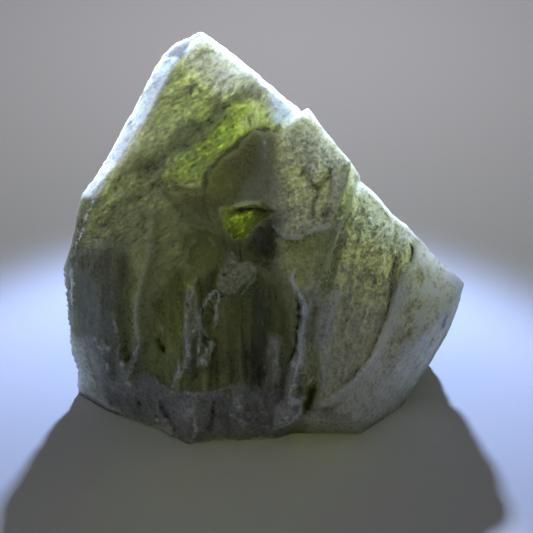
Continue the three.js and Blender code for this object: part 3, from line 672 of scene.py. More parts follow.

# Pale strokes are frosted lips and ribs and painted glints, sparkles and highlights; dark strokes are
# mostly painted shade in ripples, cracks, pits, grooves and under the lip.
STROKES = {
    "ripple over the scoop": Stroke(-0.14, 0.5, -0.2, [(-6.9, 9.2), (-4.8, 10.5), (-3.4, 11.4),
        (-2.1, 12.1), (-0.7, 12.1), (0.1, 11.4)]),
    "long ripple": Stroke(-0.12, 0.6, -0.2, [(-10.1, 6.2), (-8.7, 6.9), (-7.1, 8.2), (-5.6, 9),
        (-4.4, 9.8)]),
    "short ripple": Stroke(-0.12, 0.45, -0.2, [(-8.7, 11.8), (-7.6, 12.2), (-6.4, 12.6), (-5.6, 13.3)]),
    "ripple under the apex": Stroke(-0.14, 0.26, -0.22, [(-5.7, 15.4), (-5.1, 15.8), (-4.4, 15.9)]),
    "ripple by the band": Stroke(-0.12, 0.6, -0.22, [(-12.4, 5.2), (-11.1, 6.3), (-9.6, 6.6), (-8.5, 7)]),
    "low ripple": Stroke(-0.12, 0.5, -0.2, [(-11.7, 3.7), (-10.1, 4.5), (-8.5, 5.3), (-7.2, 5)]),
    "white lip of the hood": Stroke(0.08, 0.13, 1.1, [(-2.9, 3.5), (-2.4, 3.75), (-1.5, 3.9), (-0.7, 3.85),
        (-0.3, 3.7)]),
    "shadow under the lip": Stroke(-0.2, 0.24, -1, [(-2.3, 3.4), (-1.4, 3.5), (-0.6, 3.45), (-0.1, 3.3)]),
    "right lip of the hood": Stroke(0.1, 0.14, 0.7, [(0.4, 2.1), (1.1, 1.4), (2, 1.1), (2.9, 1.1)]),
    "left glint of the ledge": Stroke(0.1, 0.16, 1.3, [(3.1, 1.7), (3.6, 1.8)]),
    "right glint of the ledge": Stroke(0.1, 0.16, 1.3, [(3.8, 1.8), (4.7, 1.9)]),
    "blue crest": Stroke(0.16, 0.16, 1, [(1.2, 9.8), (1.9, 10.2), (2.5, 10.6), (3.5, 10.7)]),
    "edge of the arch": Stroke(0.05, 0.12, 0.2, [(-5.1, 5), (-4.7, 6.2), (-4, 6.9), (-3.1, 7.7),
        (-2.3, 8.2), (-1.6, 9), (-0.8, 9.6), (0.1, 9.4), (1.1, 9.3)]),
    "upright of the hood": Stroke(0.05, 0.3, 0.3, [(-0.4, 9.2), (-0.2, 7.4), (-0.4, 5)]),
    "left stroke of the pit": Stroke(-0.4, 0.36, -0.26, [(2.8, 6.5), (3.3, 5.7), (3.9, 5)]),
    "right stroke of the pit": Stroke(-0.4, 0.34, -0.26, [(5.1, 6.6), (4.7, 5.7), (4, 5)]),
    "stem of the pit": Stroke(-0.35, 0.28, -0.26, [(4, 5), (4, 4.2)]),
    "left slot of the rib": Stroke(-0.25, 0.25, -0.26, [(3.6, 4.2), (3.6, 3.3), (3.6, 2.5)]),
    "right slot of the rib": Stroke(-0.3, 0.45, -0.26, [(4.8, 3.6), (4.7, 3), (4.5, 2.5)]),
    "slot by the flank": Stroke(-0.2, 0.2, -0.26, [(5, 6.4), (5.1, 5.4), (5, 4.3)]),
    "flank crest": Stroke(0.14, 0.16, 0.4, [(6.4, 6.1), (6.1, 3.8), (5.7, 1.6), (5.2, -0.2), (4.7, -1.8)]),
    "olive bar": Stroke(-0.15, 0.4, -0.25, [(0.5, 3.1), (1.3, 3.1), (2, 3.2)]),
    "second groove": Stroke(-0.1, 0.22, -0.2, [(7.5, 3.8), (7.2, 1), (6.7, -2.2), (6.2, -4.6)]),
    "pale streak": Stroke(0.16, 0.25, 0.8, [(5.7, -3.2), (5.2, -4.8), (4.8, -6.4), (4.5, -7.4)]),
    "pale streak below": Stroke(0.14, 0.2, 0.7, [(5.1, -8), (4.6, -9.4), (4.4, -10.9)]),
    "streak of the panel": Stroke(0.12, 0.15, 0.45, [(8.6, -3.2), (8, -5), (7.2, -7), (6.4, -9),
        (5.7, -11.2)]),
    "left streak of the panel": Stroke(0.1, 0.15, 0.4, [(6.8, -4.2), (6.4, -6.6), (5.7, -9), (5.1, -11.4)]),
    "oval scar": Stroke(-0.3, 0.3, 0.4, [(8, -1.4), (7.8, -2.2)]),
    "pit of the panel": Stroke(-0.35, 0.12, -0.8, [(6.5, -5.3), (6.5, -5.5)]),
    "low pit of the panel": Stroke(-0.2, 0.28, -0.3, [(6.6, -7.3), (6.7, -7.6)]),
    "head of the crack": Stroke(-0.3, 0.13, -0.7, [(11.5, 0.7), (11.6, 0), (11.6, -0.8)]),
    "lip of the crack's head": Stroke(0.2, 0.13, 1, [(11.8, 0.5), (11.8, -0.3), (11.7, -0.9)]),
    "knob under the crack's head": Stroke(0.15, 0.25, 0.8, [(11.4, -1), (11.1, -1.2)]),
    "long crack": Stroke(-0.12, 0.12, -0.42, [(10.2, -0.3), (10.1, -1.6), (10, -2.8), (9.8, -4.2),
        (9.3, -5.6), (8.8, -6.9), (8.2, -8.2), (7.3, -9.4), (6.4, -10.3)]),
    "upper end of the long crack": Stroke(-0.2, 0.3, -0.26, [(10.2, -0.2), (10.3, -1.2), (10, -2)]),
    "first pale rib": Stroke(0.18, 0.22, 0.75, [(11.1, -1.3), (10.7, -2.6), (10.3, -4.1), (9.7, -5.8),
        (9, -7.4), (8.3, -8.8), (7.1, -10.2), (6.1, -11.4), (5.1, -12.2)]),
    "second pale rib": Stroke(0.14, 0.16, 0.55, [(11.6, -1.8), (11, -3.8), (10.4, -5.4), (9.7, -7),
        (8.9, -8.4), (8, -9.8), (7.3, -11.2)]),
    "third pale rib": Stroke(0.12, 0.14, 0.5, [(13.2, -5.2), (12.1, -6.5), (11.3, -7.6), (10.5, -8.6),
        (9.8, -10), (9.5, -11.5)]),
    "fine rib between": Stroke(0.1, 0.1, 0.4, [(12.6, -5), (11.5, -6.8), (10.4, -8.2), (9.4, -9.8),
        (8.6, -11.4), (8.2, -12.4)]),
    "fourth pale rib": Stroke(0.12, 0.14, 0.5, [(13.6, -5.6), (12.6, -7), (11.5, -8.4), (10.8, -9.8),
        (10.2, -11.2), (9.6, -12.6)]),
    "fifth pale rib": Stroke(0.1, 0.12, 0.4, [(14, -4), (13.2, -5.6), (12.4, -6.8), (11.6, -7.8),
        (11, -8.8)]),
    "dark furrow of the far panel": Stroke(-0.16, 0.16, -0.6, [(14.5, -5.1), (13.7, -6.4), (12.9, -7.4)]),
    "green patch": Stroke(-0.2, 0.5, -0.24, [(11, -4.6), (11.7, -4.4), (12.3, -4.4)]),
    "low green patch": Stroke(-0.2, 0.26, -0.26, [(10.7, -7.2), (11, -6.8), (11.3, -6.4)]),
    "third green patch": Stroke(-0.15, 0.2, -0.24, [(9.9, -7.4), (10.2, -7)]),
    "curl of the far panel": Stroke(-0.12, 0.14, -0.26, [(12.2, -1.4), (12.5, -1.9), (12.3, -2.3)]),
    "right bevel": Stroke(0.05, 0.18, 0.5, [(15.3, -2.6), (14.8, -4), (14.2, -5.4), (13.5, -6.6),
        (12.8, -7.8), (12.2, -9), (11.5, -10.2), (10.9, -11.6)]),
    "top bevel": Stroke(0.04, 0.2, 0.5, [(7.3, 5.6), (9.4, 3.5), (11.5, 1.4), (13.2, 0), (14.8, -1.2)]),
    "furrow of the top bevel": Stroke(-0.1, 0.1, -0.6, [(8, 4.8), (8.8, 3.9), (9.7, 2.9), (10.5, 2)]),
    "bright patch": Stroke(0.08, 0.45, 0.9, [(7.2, 5.5), (7.6, 4.6)]),
    "white spine": Stroke(0.14, 0.13, 0.95, [(2.4, -2.6), (2.8, -3.5), (3, -4.2), (3.1, -5.3), (2.9, -6.4),
        (2.7, -7.4), (2.8, -8), (2.7, -8.8), (2.4, -9.6), (2.1, -10.6), (1.9, -11.7)]),
    "first sparkle of the spine": Stroke(0.15, 0.15, 1.4, [(2.7, -3.3), (2.8, -3.7)]),
    "second sparkle of the spine": Stroke(0.15, 0.13, 1.3, [(3.1, -4.6), (3, -5)]),
    "third sparkle of the spine": Stroke(0.15, 0.14, 1.3, [(2.7, -6.4), (2.7, -6.9)]),
    "fourth sparkle of the spine": Stroke(0.15, 0.15, 1.4, [(2.3, -8.6), (2.2, -9.2)]),
    "low sparkle of the spine": Stroke(0.15, 0.14, 1.2, [(2.2, -10.2), (2.5, -10.8)]),
    "sparkle of the crack's head": Stroke(0.12, 0.18, 1.3, [(11, 1.3), (11.3, 1), (11.7, 0.8)]),
    "branch of the spine": Stroke(0.12, 0.12, 0.8, [(3.5, -3.8), (3.2, -4.8), (2.9, -5.8)]),
    "low branch of the spine": Stroke(0.1, 0.14, 0.65, [(3.2, -7.4), (3, -8.5), (3.1, -9.4), (2.9, -10.6)]),
    "crackle by the flank": Stroke(0.1, 0.12, 0.6, [(5.1, -1.3), (4.7, -2.2), (4.1, -2.6), (3.6, -3.7)]),
    "upper fork of the spine": Stroke(0.2, 0.14, 0.8, [(2.4, -1.3), (2, -2.1), (2.5, -3)]),
    "dark line by the spine": Stroke(-0.45, 0.16, -0.8, [(2.5, -3.7), (2.7, -5), (2.5, -6.2), (2.4, -7.4),
        (2, -8.5)]),
    "hollow of the spine": Stroke(-0.2, 0.25, -0.35, [(2.7, -9.6), (2.9, -10.6), (2.7, -11.2)]),
    "foot of the spine": Stroke(0.2, 0.25, 0.8, [(1.6, -12), (2.5, -11.8), (3.2, -11.5)]),
    "pale column": Stroke(0.14, 0.3, 0.3, [(0.6, -6.9), (0.9, -8.2), (0.8, -9.6), (0.3, -11)]),
    "second pale column": Stroke(0.1, 0.14, 0.3, [(0.2, -7.6), (0.1, -9.2), (-0.1, -10.6)]),
    "top of the plate": Stroke(0.06, 0.12, 0.35, [(-3, -0.9), (-2.2, -0.7), (-1.4, -0.9), (-0.8, -1.2)]),
    "right edge of the plate": Stroke(0.08, 0.12, 0.75, [(-0.8, -1.2), (-0.9, -1.8), (-1.3, -2.4),
        (-1.8, -2.9), (-2.1, -3.5)]),
    "root of the plate": Stroke(0.06, 0.12, 0.5, [(-3.2, 0.5), (-2.8, -0.2), (-2.4, -0.6)]),
    "hole of the plate": Stroke(-0.3, 0.14, -0.6, [(-3.5, -1.7), (-3.4, -1.8)]),
    "left rim of the ribbon": Stroke(0.1, 0.15, 1, [(-3.8, -2.9), (-4.3, -3.3), (-4.9, -3.9), (-5.3, -4.5),
        (-5.4, -5.4), (-5.2, -6.2), (-4.8, -6.7)]),
    "right rim of the ribbon": Stroke(0.1, 0.13, 1, [(-3.8, -3), (-3.8, -4), (-4.1, -4.5), (-4.1, -5.2),
        (-4, -5.8), (-4.4, -6.1)]),
    "bridge of the ribbon": Stroke(0.08, 0.1, 0.6, [(-4.9, -4), (-4.4, -4.4), (-4.1, -4.5)]),
    "web of the ribbon": Stroke(0.06, 0.3, 0.4, [(-4.3, -3.6), (-4.2, -4)], Profile.RIBBON),
    "thread over the ribbon": Stroke(0.05, 0.1, 0.45, [(-2.9, -3.1), (-3.2, -3.7), (-3.4, -4)]),
    "eye of the ribbon": Stroke(-0.3, 0.35, -0.24, [(-4.7, -4.7), (-4.7, -5.6)]),
    "foot of the ribbon": Stroke(0.1, 0.3, 0.6, [(-4.7, -6.9), (-4.6, -7.5), (-4.9, -8.3),
        (-5, -8.9)], Profile.RIBBON),
    "right rim of the foot": Stroke(0.08, 0.1, 0.6, [(-4.6, -6.8), (-4.3, -7.3), (-4.5, -8.1), (-4.6, -8.8),
        (-5.2, -9)]),
    "fibre over the strips": Stroke(0.08, 0.1, 0.5, [(-5.7, -2), (-5.7, -3), (-6, -4.1), (-6.3, -4.9)]),
    "first strip": Stroke(0.15, 0.2, 0.5, [(-6.5, -4.9), (-6.6, -6.2), (-6.4, -7.4), (-6.3, -8.8),
        (-6.9, -9.8), (-7.1, -10.9)]),
    "second strip": Stroke(0.14, 0.16, 0.45, [(-5.9, -5.4), (-6, -6.9), (-6.1, -8.2), (-6.1, -9.6)]),
    "third strip": Stroke(0.12, 0.14, 0.45, [(-5.5, -6.1), (-5.4, -7.8), (-5.6, -9.6)]),
    "foot of the strips": Stroke(0.14, 0.14, 0.55, [(-6.8, -8.8), (-7.1, -9.8), (-7.6, -10.9)]),
    "dark slot": Stroke(-0.4, 0.16, -0.5, [(-8.6, -7), (-8.4, -7.4), (-8.1, -7.8)]),
    "pale tick": Stroke(0.12, 0.1, 0.6, [(-8.3, -6.1), (-8.2, -6.8)]),
    "dark hole in the glass": Stroke(-0.3, 0.22, -0.5, [(-6.4, -4.1), (-6.2, -4.4)]),
    "arc of the clear patch": Stroke(0.1, 0.13, 0.25, [(-6.4, -0.8), (-6.2, 0.2), (-5.6, 0.8), (-4.8, 1),
        (-4.2, 0.6)]),
    "thin ridge": Stroke(0.08, 0.2, 0.35, [(-9, 1.9), (-9, 1), (-9.2, -0.2), (-9.7, -1.6), (-10.1, -3),
        (-10.4, -4.4), (-10.4, -5.6), (-10.2, -6.8), (-10.3, -7.6), (-10.7, -8.8), (-11.2, -10.2)]),
    "foot of the ridge": Stroke(0.1, 0.2, 0.5, [(-11.1, -10.1), (-10.9, -11.2), (-10.8, -12.3)]),
    "rim of the green glass": Stroke(0.08, 0.16, 0.4, [(-9.6, -9.7), (-8.7, -10.5), (-7.6, -11.1),
        (-6.1, -11.3), (-4.5, -11.1), (-3.2, -10.9), (-2.3, -10.3)]),
    "edge of the lobe": Stroke(0.12, 0.14, 0.3, [(-11.2, -1.6), (-11.2, -3.8), (-11.2, -6.2), (-11, -8)]),
    "top of the lobe": Stroke(0.06, 0.4, 0.2, [(-15.2, -1.1), (-14.4, 0), (-13.5, 0.6), (-12.4, 0.4)]),
    "pinhole": Stroke(-0.25, 0.13, -0.7, [(-13.5, 1.3), (-13.4, 1.1)]),
    "first highlight of the lobe": Stroke(0.16, 0.34, 0.42, [(-13.9, -6.9), (-13.4, -8), (-12.8, -9.3)]),
    "second highlight of the lobe": Stroke(0.15, 0.2, 0.5, [(-12.4, -4.8), (-12, -6.6), (-11.7, -8.3),
        (-11.3, -9.8)]),
    "third highlight of the lobe": Stroke(0.12, 0.3, 0.4, [(-13, -7.4), (-12.7, -8.5), (-13.1, -9.9)]),
    "left crack of the lobe": Stroke(-0.15, 0.13, -0.3, [(-14.4, -7.2), (-14.1, -8.8), (-13.6, -10.4)]),
    "heel edge": Stroke(0.15, 0.2, 0.6, [(-14.6, -10.6), (-13.8, -11.7), (-12.7, -12.5), (-11.4, -13)]),
    "sparkle of the rim": Stroke(0.1, 0.12, 1, [(-15.6, -0.8), (-15.6, -2.6), (-15.6, -4.3)]),
    "left edge": Stroke(0.1, 0.14, 0.7, [(-13.2, 5.3), (-13.8, 4.2), (-14.4, 2.4), (-15.1, 0.7),
        (-15.5, -0.5)]),
    "edge of the lip's lump": Stroke(0.18, 0.16, 0.7, [(-6.1, -12.7), (-5.8, -13.8), (-5.8, -14.6),
        (-6.1, -15.1)]),
    "face of the bump": Stroke(0.15, 0.5, 0.5, [(-2.3, -11.8), (-2.1, -12.5)]),
    "edge of the bump": Stroke(0.12, 0.14, 0.8, [(-2.9, -12.9), (-2.3, -13.4), (-1.6, -13.6)]),
    "low edge of the lip": Stroke(0.15, 0.18, 0.6, [(-0.7, -13.8), (0.4, -14.1), (1.5, -13.8), (2.5, -13),
        (2.9, -11.8)]),
    "glint of the lip": Stroke(0.1, 0.12, 1, [(-8.9, -13.3), (-8.8, -13.5)]),
    "furrow of the lip": Stroke(-0.3, 0.25, -0.26, [(-4.2, -12), (-4.4, -13.3), (-4.8, -14.4)]),
    "left furrow of the lip": Stroke(-0.3, 0.22, -0.26, [(-8.5, -12.2), (-7.9, -13.3), (-7.2, -14.2)]),
    "dark pits of the lip": Stroke(-0.25, 0.2, -0.5, [(-10.3, -12), (-10, -12.3)]),
    "low rim of the lip": Stroke(0.1, 0.14, 0.5, [(-9.2, -13.8), (-7.9, -14.4), (-6.6, -15),
        (-4.9, -15.1)]),
}


class Wedge:
    """One of the two wedges of glass, as the flat faces that bound it.

    Args:
        sight: How the eye meets the stone.
        outline: The corners of its outline, against the clock.
        front: Its broad faces of the front.
    """

    EDGE_ROUNDING = 0.06
    WORKED_FROM = -1.4
    WORKED_TO = 0.3

    def __init__(self, sight: Sight, outline: dict[str, Corner], front: dict[str, Slope]) -> None:
        """Works out the faces, each as an outward direction and a distance from the core."""
        ahead = [((-face.across, -face.up, 1.0), (0.0, 0.0, face.near)) for face in front.values()]
        aside = [
            (sight.turned(np.array(face.facing)), sight.seen(np.array(face.through, float)))
            for face in BACK.values()
        ]
        corners = list(outline.values())
        for corner, after in zip(corners, corners[1:] + corners[:1]):
            forward, backward = self.bevels(corner, after)
            (ahead if corner.lip else aside).append((forward, corner.at))
            aside.append((backward, corner.at))
        self.front = self.faces(ahead)
        self.rest = self.faces(aside)

    @staticmethod
    def bevels(corner: Corner, after: Corner) -> list[Array]:
        """Finds the two bevels of an edge of the outline.

        Args:
            corner: Where the edge starts.
            after: Where it ends.

        Returns:
            The directions that the bevels of the front and of the back face.
        """
        along = unit(np.array(after.at) - np.array(corner.at))
        out = unit(np.array([along[1], -along[0], 0.0]))
        near = np.cross(out, along)
        return [
            out * math.cos(math.radians(lean)) + near * math.sin(math.radians(lean))
            for lean in (corner.front, -corner.back)
        ]

    @staticmethod
    def faces(pairs: list[tuple]) -> tuple[Array, Array]:
        """Makes faces of known directions.

        Args:
            pairs: The outward direction of each face, and a point that it passes through.

        Returns:
            The directions, each of length 1, and the distances from the core.
        """
        facing = unit(np.array([direction for direction, _ in pairs], float))
        through = np.array([point for _, point in pairs], float)
        return facing.astype(np.float32), (facing * through).sum(1).astype(np.float32)

    def past(self, faces: tuple[Array, Array], seen: Array) -> Array:
        """Measures past the farthest of some faces, rounded where two are equally far.

        Args:
            faces: The faces.
            seen: Points as the eye meets them.

        Returns:
            The distances, negative inside all of the faces.
        """
        facing, reach = faces
        past = seen @ facing.T - reach
        most = past.max(axis=1)
        past = np.exp((past - most[:, None]) / self.EDGE_ROUNDING)
        return most + self.EDGE_ROUNDING * np.log(past.sum(axis=1))

    def field(self, seen: Array, worked: Array) -> Array:
        """Measures outwards from the wedge's surface.

        Args:
            seen: Points as the eye meets them.
            worked: How high the worked front stands over its flat faces at each point.

        Returns:
            The distances, negative inside the glass.
        """
        ahead = self.past(self.front, seen)
        aside = self.past(self.rest, seen)
        share = smoothstep(ahead - aside, self.WORKED_FROM, self.WORKED_TO)
        return np.maximum(ahead, aside) - worked * share


class FrontMap:
    """The worked front as maps over across and up: its height, colour, clearness and frost.

    Args:
        step: The distance between the points of the maps.
    """

    HALF_WIDTH = 18.0
    LOW = -17.5
    HIGH = 19.5
    WANDER = 0.28
    PLAIN = (0.7, 0.35, 0.8)
    SOFT_LOOK = 0.27
    FAN_POLE: Point2 = (0.4, -31.5)
    PEEL_TURN = 38.0
    PEEL_LENGTH = 2.0
    RIB_LENGTH = 4.0
    RIB_SWAY = 0.4
    RIBBED = {Grain.FAN: 0.4, Grain.STREAKS: 0.8}
    FAN_SPREAD = 30
    HIGH_PART = (0.0, 9.0)
    CONTRAST = (0.5, 0.28)
    GRIT_LEFT = (1.0, 0.6)
    FROST_GRAIN = 0.25
    UNEVEN_SIZE = 0.55
    BROKEN_SIZE = 0.3
    ENDS = 0.12
    SOFT_POWER = 2.0
    SHARP_POWER = 1.4
    # Dark strokes take the painted shade below; pale ones take the white of frost and of painted
    # highlights.
    DARKEST = np.array([0.06, 0.065, 0.02])
    WHITEST = np.array([0.74, 0.8, 0.82])

    def __init__(self, step: float = 0.05) -> None:
        """Draws the maps: the broad forms, then the patches, then the strokes."""
        self.step = step
        rows = np.arange(-self.HALF_WIDTH, self.HALF_WIDTH + step, step)
        columns = np.arange(self.LOW, self.HIGH + step, step)
        across, up = np.meshgrid(rows, columns, indexing="ij")
        self.height = self.broad_forms(across, up)
        wander = [self.WANDER * layered_noise([across / 1.2, up / 1.2], seed, 5) for seed in (3, 5)]
        self.across, self.up = across + wander[0], up + wander[1]
        self.tone = np.tile(np.array(Tone.MOSS.value), (*across.shape, 1))
        self.clear, self.frost, self.grit = (np.full(across.shape, value) for value in self.PLAIN)
        self.vein, self.ribbed, self.peeled = (np.zeros(across.shape) for _ in range(3))
        self.lay_patches(across, up)
        for n, stroke in enumerate(STROKES.values()):
            self.lay_stroke(stroke, n)
        self.height = self.height.astype(np.float32)
        self.looks = np.stack([
            *np.moveaxis(self.tone, 2, 0), self.clear, self.frost, self.grit, self.vein,
            self.ribbed, self.peeled,
        ], axis=2)

    @staticmethod
    def broad_forms(across: Array, up: Array) -> Array:
        """Draws the swellings, plates and crests that the model has too.

        Args:
            across: The points' places across.
            up: The points' places up.

        Returns:
            Their height at each point.
        """
        height = sum(swell.over(across, up) for swell in SWELLS.values())
        for plate in PLATES.values():
            share = 1 - smoothstep(to_outline(plate.line, across, up), -plate.edge, plate.edge)
            height = lerp(height, plate.level, share)
        for crest in CRESTS.values():
            away, along = to_line(crest.line, across, up)
            fade = smoothstep(along, -0.15, 0.15) * (1 - smoothstep(along, 0.85, 1.15))
            height = height + crest.height * fade * np.exp(-((away / crest.half) ** 2))
        return height

    def ribs(self, across: Array, up: Array) -> Array:
        """Finds the coordinates that the finest ribs are drawn in.

        Args:
            across: The points' places across.
            up: The points' places up.

        Returns:
            Two coordinates for each point; the ribs run along the second one, upright on the
            left and fanned out on the right.
        """
        across = across + self.RIB_SWAY * layered_noise([across / 2.0, up / 2.4], 9, 3)
        dx, dy = across - self.FAN_POLE[0], up - self.FAN_POLE[1]
        fanned = smoothstep(across, 1.0, 5.0)
        return np.stack([
            lerp(across, np.arctan2(dx, dy) * self.FAN_SPREAD, fanned),
            np.hypot(dx, dy) / self.RIB_LENGTH,
        ], axis=-1)

    def peel(self, across: Array, up: Array) -> Array:
        """Returns the coordinates of the crumpled skin, whose wrinkles run along the first one."""
        long, wide = self.up_right(across, up)
        return np.stack([long / self.PEEL_LENGTH, wide], axis=-1)

    def up_right(self, across: Array, up: Array) -> tuple[Array, Array]:
        """Turns places to the way that the crumpled skin is drawn out.

        Args:
            across: The points' places across.
            up: The points' places up.

        Returns:
            Their places along that way, and across it.
        """
        turn = math.radians(self.PEEL_TURN)
        long = across * math.cos(turn) + up * math.sin(turn)
        return long, up * math.cos(turn) - across * math.sin(turn)

    def grain(self, kind: Grain, across: Array, up: Array) -> tuple[Array, Array]:
        """Draws a texture over the whole front.

        Args:
            kind: Which texture.
            across: The points' places across.
            up: The points' places up.

        Returns:
            Its height in millimetres, and how light it is, about 0, as painted light and shade that follow
            the relief: mostly lighter where it stands higher and darker in its pits.
        """
        if kind is Grain.PEEL:
            long, wide = self.up_right(across, up)
            crumpled = layered_noise([long / 0.8, wide / 0.42], 21, 3)
            broad = layered_noise([long / 3.0, wide / 1.1], 25, 3)
            return 0.12 * crumpled + 0.16 * broad, 0.55 * crumpled + 0.25 * broad
        if kind is Grain.PITS:
            large, mark, _ = cell_noise([across / 0.8, up / 1.0], 31)
            small, _, _ = cell_noise([across / 0.36, up / 0.42], 33)
            rough = layered_noise([across / 0.6, up / 0.8], 35, 4)
            deep = np.where(mark > 0.8, 1 - smoothstep(large + 0.3 * rough, 0.05, 0.5), 0)
            return (
                -0.14 * deep + 0.1 * (np.minimum(small, 0.7) - 0.35) + 0.16 * rough,
                -0.15 * deep + 0.3 * (small - 0.4) + 0.55 * rough,
            )
        if kind is Grain.FAN:
            dx, dy = across - self.FAN_POLE[0], up - self.FAN_POLE[1]
            away, round_pole = np.hypot(dx, dy), np.arctan2(dx, dy) * self.FAN_SPREAD
            fine = soft_noise([round_pole / 0.3, away / 3.0], 41)
            broad = soft_noise([round_pole / 0.8, away / 5.0], 43)
            rough = layered_noise([across / 0.5, up / 0.7], 45, 3)
            return 0.05 * fine + 0.1 * broad + 0.1 * rough, 0.12 * fine + 0.2 * broad + 0.5 * rough
        if kind is Grain.STREAKS:
            fine = soft_noise([across / 0.26, up / 3.4], 51)
            broad = soft_noise([across / 0.7, up / 4.6], 53)
            rough = layered_noise([across / 0.5, up / 0.9], 55, 3)
            return 0.07 * fine + 0.16 * broad + 0.08 * rough, 0.3 * fine + 0.4 * broad + 0.3 * rough
        if kind is Grain.CHIPS:
            bend = [0.5 * layered_noise([across / 0.8, up / 0.8], seed, 3) for seed in (67, 69)]
            _, mark, ways = cell_noise([across / 1.1 + bend[0], up / 1.5 + bend[1]], 61)
            tilt = (mark - 0.5) * ways[0] * 2.4 + (np.mod(mark * 7.3, 1) - 0.5) * ways[1] * 2.4
            rough = layered_noise([across / 0.8, up / 1.0], 65, 4)
            return 0.14 * tilt + 0.2 * rough, 0.12 * tilt + 0.1 * (mark - 0.5) + 0.6 * rough
        slow = layered_noise([across / 1.7, up / 1.7], 71, 2)
        return 0.12 * slow, 0.25 * slow

    def lay_patches(self, across: Array, up: Array) -> None:
        """Lays the patches over the maps, each over those before it.

        Args:
            across: The points' places across.
            up: The points' places up.
        """
        depths = {kind: np.zeros(across.shape) for kind in Grain}
        depths[Grain.PITS] += 0.6
        for patch in PATCHES.values():
            box = self.box(patch.line, 3 * patch.edge + 0.3)
            away = to_outline(patch.line, self.across[box], self.up[box])
            share = 1 - smoothstep(away, -patch.edge, patch.edge)
            for kind, depth in depths.items():
                depth[box] = lerp(depth[box], patch.depth if kind is patch.grain else 0.0, share)
            tone = np.array(patch.tone.value)
            self.tone[box] = lerp(self.tone[box], tone, share[..., None])
            for layer, value in (
                (self.clear, patch.clear), (self.frost, patch.frost), (self.grit, patch.grit),
                (self.ribbed, self.RIBBED.get(patch.grain, 0)),
                (self.peeled, patch.grain is Grain.PEEL),
            ):
                layer[box] = lerp(layer[box], value, share)
        lightness = np.zeros(across.shape)
        with ThreadPoolExecutor(4) as pool:
            grains = list(pool.map(lambda kind: self.grain(kind, across, up), depths))
        for depth, (height, light) in zip(depths.values(), grains):
            self.height += depth * height
            lightness += np.minimum(depth, 1) * light
        lightness = np.clip(lightness, -1, 1)
        # Painted light and shade of the grains: the tone follows their lightness, less strongly on the
        # upper stone.
        high = smoothstep(up, *self.HIGH_PART)
        self.tone *= np.exp(lerp(*self.CONTRAST, high) * lightness)[..., None]
        self.grit *= lerp(*self.GRIT_LEFT, high)
        self.frost += self.FROST_GRAIN * lightness * (0.3 + self.frost)

    def lay_stroke(self, stroke: Stroke, number: int) -> None:
        """Lays a stroke over the maps, uneven in height and width along its way.

        Args:
            stroke: The stroke.
            number: Its number, which picks its unevenness.
        """
        line = rounded(stroke.line)
        box = self.box(line, 4 * stroke.half + 0.5)
        across, up = self.across[box], self.up[box]
        away, along = to_line(line, across, up)
        uneven = soft_noise([place / self.UNEVEN_SIZE for place in (across, up)], 101 + number)
        broken = layered_noise([place / self.BROKEN_SIZE for place in (across, up)], 301 + number, 2)
        is_soft = abs(stroke.look) < self.SOFT_LOOK
        half = stroke.half * (1 + 0.35 * uneven + 0.2 * broken)
        ends = self.ENDS
        fade = smoothstep(along, -ends, ends) * (1 - smoothstep(along, 1 - ends, 1 + ends))
        if stroke.profile is Profile.RIBBON:
            profile = fade * (1 - smoothstep(away / half, 0.75, 1.15))
        else:
            power = self.SOFT_POWER if is_soft else self.SHARP_POWER
            profile = fade * np.exp(-((away / half) ** power))
        self.height[box] += stroke.height * profile * (1 + 0.3 * uneven + 0.3 * broken)
        # Pale strokes draw frost and painted highlights and glints into the line map and the tone; dark
        # ones draw painted shade.
        drawn = stroke.look * profile * (1 + (0.1 if is_soft else 0.7) * broken)
        stronger = (np.abs(drawn) > np.abs(self.vein[box])) & (not is_soft)
        self.vein[box] = np.where(stronger, drawn, self.vein[box])
        if stroke.look > 0:
            share = np.clip(drawn * (0.5 + 0.5 * uneven + 0.5 * broken), 0, 1)
            self.tone[box] = lerp(self.tone[box], self.WHITEST, 0.4 * share[..., None])
            self.frost[box] = lerp(self.frost[box], 1.0, 0.6 * share)
            self.clear[box] = lerp(self.clear[box], 0.5, 0.6 * share)
        else:
            share = np.clip((-1.3 if is_soft else -0.9) * drawn, 0, 1)
            self.tone[box] = lerp(self.tone[box], self.DARKEST, 0.8 * share[..., None])
            self.frost[box] = lerp(self.frost[box], 0.0, share)

    def box(self, line: list[Point2], room: float) -> tuple[slice, slice]:
        """Finds the part of the maps that holds a line.

        Args:
            line: The line's points.
            room: How much is kept free around them.

        Returns:
            The rows and the columns of that part.
        """
        low, high = np.min(line, axis=0) - room, np.max(line, axis=0) + room
        start = np.array([-self.HALF_WIDTH, self.LOW])
        first = np.maximum(np.floor((low - start) / self.step), 0).astype(int)
        last = np.ceil((high - start) / self.step).astype(int) + 1
        return slice(first[0], last[0]), slice(first[1], last[1])

    def sample(self, table: Array, across: Array, up: Array) -> Array:
        """Reads a map between its points.

        Args:
            table: The map.
            across: Where to read it.
            up: Where to read it.

        Returns:
            Its values there.
        """
        x = np.clip((across + self.HALF_WIDTH) / self.step, 0, table.shape[0] - 1.001)
        y = np.clip((up - self.LOW) / self.step, 0, table.shape[1] - 1.001)
        i, j = x.astype(np.int32), y.astype(np.int32)
        u, v = x - i, y - j
        if table.ndim == 3:
            u, v = u[:, None], v[:, None]
        low = table[i, j] * (1 - v) + table[i, j + 1] * v
        high = table[i + 1, j] * (1 - v) + table[i + 1, j + 1] * v
        return low * (1 - u) + high * u


